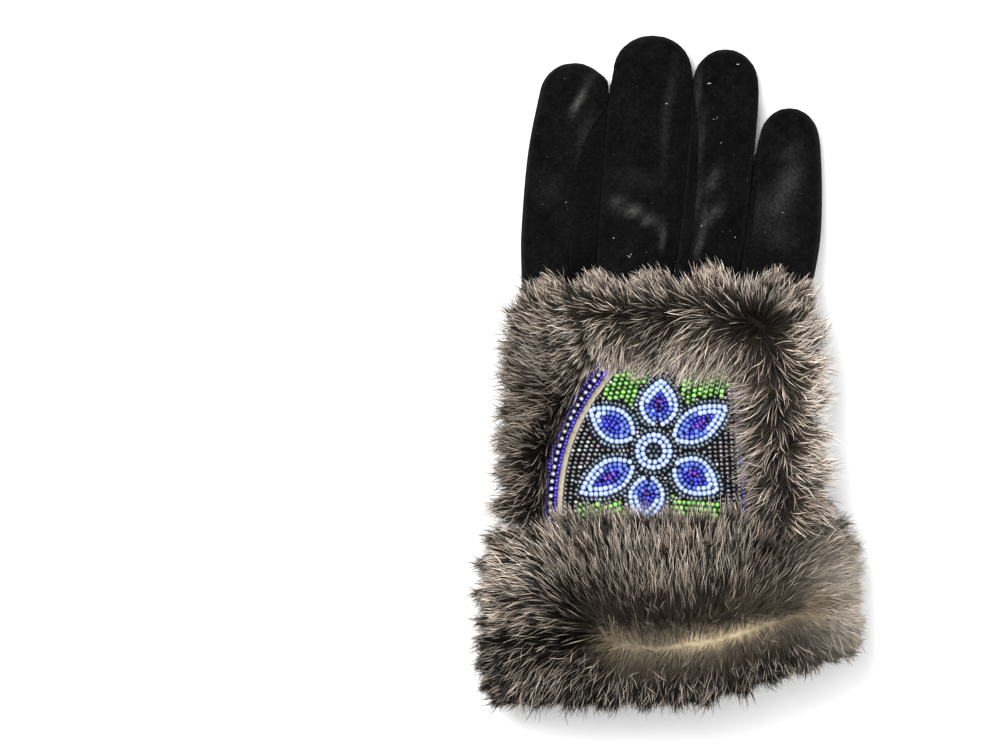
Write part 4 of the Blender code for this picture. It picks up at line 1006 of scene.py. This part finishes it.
def grow_points(place, normal, combs, kind, scatter, sway_share, random):
    """Points of each hair from root to tip, before clumping."""
    count, steps = len(place), kind.segments
    x, y, _ = place.T
    heading, lift, length = comb_at(x, y, combs)
    risen = above_parting(x, y)
    heading[risen] = comb_at(x[risen], y[risen], WRIST_COMB)[0]
    drift = 0.30 * ripple(x, y, 19, 0.7) + 0.16 * ripple(y, x, 8.5, 2.1)
    heading = heading + drift * sway_share + np.radians(random.normal(0, scatter, count))
    lift = np.radians(lift * kind.lift * random.normal(1, 0.22, count)).clip(0.12, 1.35)
    length = length * kind.length * random.normal(1, 0.16, count).clip(0.55, 1.4)
    length *= 1 - 0.4 * soft_shares(place)[0]
    flat = np.stack([np.cos(heading), np.sin(heading), np.zeros(count)], 1)
    lying = flat - normal * (flat * normal).sum(1, keepdims=True)
    down = np.array([0.0, 0.0, -1.0]) + normal * normal[:, 2:3]
    lying = unit(lying + down * smooth_step(0.6, 0.0, np.abs(normal[:, 2]))[:, None] * 0.35)
    side = np.cross(normal, lying)
    points = np.empty((count, steps + 1, 3))
    points[:, 0] = place - normal * ROOT_DEPTH
    phase = random.random(count) * 2 * math.pi
    for step in range(steps):
        share = (step + 0.5) / steps
        angle = lift * (1 - kind.bend * share)
        sway = kind.curl * np.sin(phase + share * 3.6) * 3.0
        run = normal * np.sin(angle)[:, None] + lying * np.cos(angle)[:, None] + side * sway[:, None]
        points[:, step + 1] = points[:, step] + unit(run) * (length / steps)[:, None]
    return points


def clumped(points, place, kind, spacing, random):
    """Draws hairs together at their tips, as fur does."""
    count = len(points)
    number = max(8, int(count / spacing))
    heads = random.choice(count, number, replace=False)
    tree = KDTree(number)
    for index, head in enumerate(heads):
        tree.insert(place[head], index)
    tree.balance()
    nearest = np.array([tree.find(spot)[1] for spot in place])
    leader = points[heads[nearest]]
    pull = kind.clump * random.uniform(0.4, 1.3, count) * (1 - 0.9 * soft_shares(place)[2])
    shares = (np.arange(points.shape[1]) / (points.shape[1] - 1)) ** 1.3
    return points + (leader - points) * (pull[:, None] * shares)[:, :, None]


def keep_clear(points, normal, ground):
    """Lifts hair off the glove's back, the beads and the floor."""
    above = normal[:, 2] > 0.15
    heights = ground.at(points[above, :, 0].ravel(), points[above, :, 1].ravel()).reshape(-1, points.shape[1])
    steps = np.arange(points.shape[1]) / (points.shape[1] - 1)
    points[above, :, 2] = np.maximum(points[above, :, 2], heights + HAIR_CLEARANCE * steps)
    points[:, :, 2] = points[:, :, 2].clip(FLOOR_CLEARANCE, HAIR_CEILING)
    return points


def hair_paint(place, kind, shade, random):
    """Colour at each point of each hair."""
    count = len(place)
    x, y, z = place.T
    base = shade * np.array(kind.colours)[None].repeat(count, 0)
    glow, fluff, smooth_fur = soft_shares(place)
    tone = np.exp(random.normal(0, 0.34, count) * (1 - 0.75 * smooth_fur))
    tone *= 1 + 0.22 * ripple(x, y, 31, 1.1)
    warm = 1 + 0.03 * ripple(y, x, 24, 0.4)[:, None] * np.array([1.0, 0.1, -0.6])
    paint = base * tone[:, None, None] * warm[:, None, :]
    shares = (np.arange(kind.segments + 1) / kind.segments)[None, :, None]
    # Painted shade from the patches above, and painted light where their depth is below 0.
    for light_and_shade in PAINTED_LIGHT_AND_SHADE:
        deep = np.exp(-((x - light_and_shade.x) ** 2 + (y - light_and_shade.y) ** 2) / light_and_shade.reach**2)
        paint = paint * (1 - light_and_shade.depth * deep * smooth_step(0.0, 10.0, z - 24))[:, None, None]
    if kind is GUARD:
        paint[random.random(count) < 0.3] *= 0.28
    brown = (smooth_fur * (1 - fluff))[:, None, None] * (0.8 if kind is UNDER else 0.3)
    paint = paint * (1 - brown) + BROWN * brown * tone[:, None, None]
    soft = (fluff[:, None, None] * 0.9).clip(0, 1)
    paint = paint * (1 - soft) + FLUFF * soft * tone[:, None, None]
    pale = (glow[:, None, None] * (1 - shares) ** 0.5).clip(0, 1)
    return paint * (1 - pale) + CREAM * pale * tone[:, None, None]


def strands(name, points, widths, normal, paint, profile, random):
    """Flat tapering strips along rows of points, joined into one mesh."""
    count, rows = points.shape[:2]
    run = unit(points[:, 1:] - points[:, :-1])
    run = np.concatenate([run, run[:, -1:]], 1)
    twist = random.uniform(-1.0, 1.0, count)[:, None, None]
    across = unit(np.cross(run, normal[:, None]))
    across = across * np.cos(twist) + np.cross(across, run) * np.sin(twist)
    reach = across * (widths[:, None] * np.array(profile)[None] / 2)[:, :, None]
    verts, colours = by_turns(points - reach, points + reach, points), by_turns(paint, paint, paint)
    verts[:, :, 2] = np.maximum(verts[:, :, 2], STRAND_FLOOR)
    starts = (np.arange(count) * (2 * rows - 1))[:, None, None]
    quads = np.array([(2 * n, 2 * n + 1, 2 * n + 3, 2 * n + 2) for n in range(rows - 2)])[None] + starts
    last = 2 * (rows - 2)
    tips = np.array([(last, last + 1, last + 2)])[None] + starts
    blocks = [quads.reshape(-1, 4), tips.reshape(-1, 3)]
    return add_mesh(name, verts.reshape(-1, 3), blocks, "hair", colours.reshape(-1, 3))


def by_turns(left, right, tip):
    """Rows of left and right values by turns, with one value at the tip."""
    both = np.empty((len(tip), 2 * tip.shape[1] - 1, 3))
    both[:, 0:-1:2], both[:, 1:-1:2], both[:, -1] = left[:, :-1], right[:, :-1], tip[:, -1]
    return both


def outer_share(points, normals, faces, axis):
    """Which faces grow hair, and how thickly: all that face away from the glove, most on top."""
    middle = points[faces].mean(1)
    facing = normals[faces].mean(1)
    if axis is None:
        return smooth_step(-0.15, 0.15, facing[:, 2])
    away = unit((middle - axis) * (1, 0, 1))
    outward = (facing * away).sum(1)
    ends = smooth_step(0.5, 0.8, np.abs(facing[:, 1])) * (outward > -0.3)
    grown = np.maximum(smooth_step(-0.05, 0.25, outward), ends)
    return grown * (0.35 + 0.65 * smooth_step(-0.5, 0.1, facing[:, 2]))


# Counts of down and guard hairs, the axis that hair faces away from, how bright each kind is, how far guard
# hair strays from the comb, how much it sways, and rounds of smoothing and levelling of the underfur.
Coat = namedtuple("Coat", "node combs under guard axis shade sheen stray sway rounds levelling")
COATS = (
    Coat("fur_frame", FRAME_COMB, 26000, 9300, None, 0.70, 0.90, 1.7, 0.9, 24, 25),
    Coat("fur_wrist_band", WRIST_COMB, 27000, 9500, (0.0, 0.0, 20.0), 0.20, 0.67, 1.1, 0.3, 30, 200),
    Coat("fur_hem_band", HEM_COMB, 27000, 4300, (0.0, 0.0, 20.0), 0.11, 0.52, 2.6, 0.8, 30, 90),
)


def fur_coats():
    ground = HeightMap({"hand_back": 0.0, "hide_panel": BEADS_TOP})
    for number, coat in enumerate(COATS):
        random = np.random.default_rng(SEED + 100 + number)
        points, normals, faces = fur_body(coat.node, coat.rounds, coat.levelling)
        x, y, _ = points.T
        glow, _, smooth_fur = (share[:, None] for share in soft_shares(points))
        paint = SKIN_COLOUR * (1 + 0.3 * ripple(x, y, 12, 0.3))[:, None]
        paint = paint * (1 - smooth_fur) + BROWN * 0.6 * smooth_fur
        paint = paint * (1 - glow) + CREAM * 0.8 * glow
        finish_piece(add_mesh(coat.node + "_underfur", points, faces, "underfur", paint), "fur", coat.node)
        surface = (points, normals, faces, outer_share(points, normals, faces, coat.axis))
        grow_coat(coat, "down", UNDER, (coat.under, 40, coat.shade, 1.0), surface, ground, random)
        grow_coat(coat, "guard_hair", GUARD, (coat.guard, 14, coat.sheen, coat.stray), surface, ground, random)


def grow_coat(coat, label, kind, amounts, surface, ground, random):
    """One kind of hair over one node. amounts is its count, hairs in a clump, brightness and stray."""
    count, spacing, shade, stray = amounts
    place, normal = sample_surface(*surface, count, random)
    if kind is GUARD and coat.axis is not None:
        kept = random.random(count) > 0.93 * bare_share(place)
        place, normal = place[kept], normal[kept]
    hairs = grow_points(place, normal, coat.combs, kind, kind.scatter * stray, coat.sway, random)
    hairs = keep_clear(clumped(hairs, place, kind, spacing, random), normal, ground)
    paint = hair_paint(place, kind, shade, random)
    widths = kind.width * random.uniform(0.7, 1.3, len(place))
    finish_piece(strands(f"{coat.node}_{label}", hairs, widths, normal, paint, kind.profile, random), "fur")


def bare_share(place):
    """Where guard hair is missing: along the parting and in the pale fluff."""
    x, y, _ = place.T
    reach = np.where(above_parting(x, y), 10.0, 6.0)
    bare = np.exp(-((parting_gap(x, y) / reach) ** 2)) * smooth_step(-30, -12, x)
    return np.maximum(bare, 0.8 * np.exp(-(((x - 63) / 10) ** 2) - ((y + 84) / 14) ** 2))


# Floor, light and camera

FLOOR_REACH = 4000.0
SKY_STRENGTH = 0.26
LIT_PLACE = (0, 0, 20)  # what the lamps point at
LAMPS = (
    ("key", (-450, 500, 1100), 800, 20.0), ("fill", (600, -350, 1000), 900, 7.0), ("top", (-60, 60, 1400), 600, 8.0)
)


def floor_material():
    material, nodes, links, shader = new_material("pale_floor")
    noise = noise_node(nodes, links, 12.0)
    factor = map_range(nodes, links, noise, 0.985, 1.0)
    links.new(tinted(nodes, links, (0.93, 0.93, 0.935), factor), shader.inputs["Base Color"])
    links.new(map_range(nodes, links, noise, 0.6, 0.75), shader.inputs["Roughness"])
    shader.inputs["Specular IOR Level"].default_value = 0.2
    return material


def studio():
    MATERIALS["floor"] = floor_material()
    corners = FLOOR_REACH * np.array([(-1, -1, 0), (1, -1, 0), (1, 1, 0), (-1, 1, 0)])
    add_mesh("floor", corners, np.array([(0, 1, 2, 3)]), "floor")
    world = bpy.data.worlds.new("studio")
    bpy.context.scene.world = world
    world.use_nodes = True
    world.node_tree.nodes["Background"].inputs["Color"].default_value = (1.0, 1.0, 1.0, 1.0)
    world.node_tree.nodes["Background"].inputs["Strength"].default_value = SKY_STRENGTH
    for lamp in LAMPS:
        area_light(*lamp)


def area_light(name, place, size, power):
    light = bpy.data.lights.new(name, "AREA")
    light.shape = "DISK"
    light.size = size * MM
    light.energy = power
    lamp = linked(bpy.data.objects.new(name, light))
    lamp.location = Vector(place) * MM
    lamp.rotation_euler = (Vector(LIT_PLACE) * MM - lamp.location).to_track_quat("-Z", "Y").to_euler()


def camera():
    made = bpy.data.cameras.new("camera")
    made.sensor_width = SENSOR
    made.lens = SENSOR * (VIEW_HEIGHT - VIEW_LEVEL) / VIEW_WIDTH
    made.clip_start, made.clip_end = 0.05, 20.0
    holder = linked(bpy.data.objects.new("camera", made))
    holder.location = Vector((VIEW_X, VIEW_Y, VIEW_HEIGHT)) * MM
    bpy.context.scene.camera = holder


camera()
studio()
suede_pieces()
bead_panel()
fur_coats()
bpy.context.scene.view_settings.view_transform = "Standard"
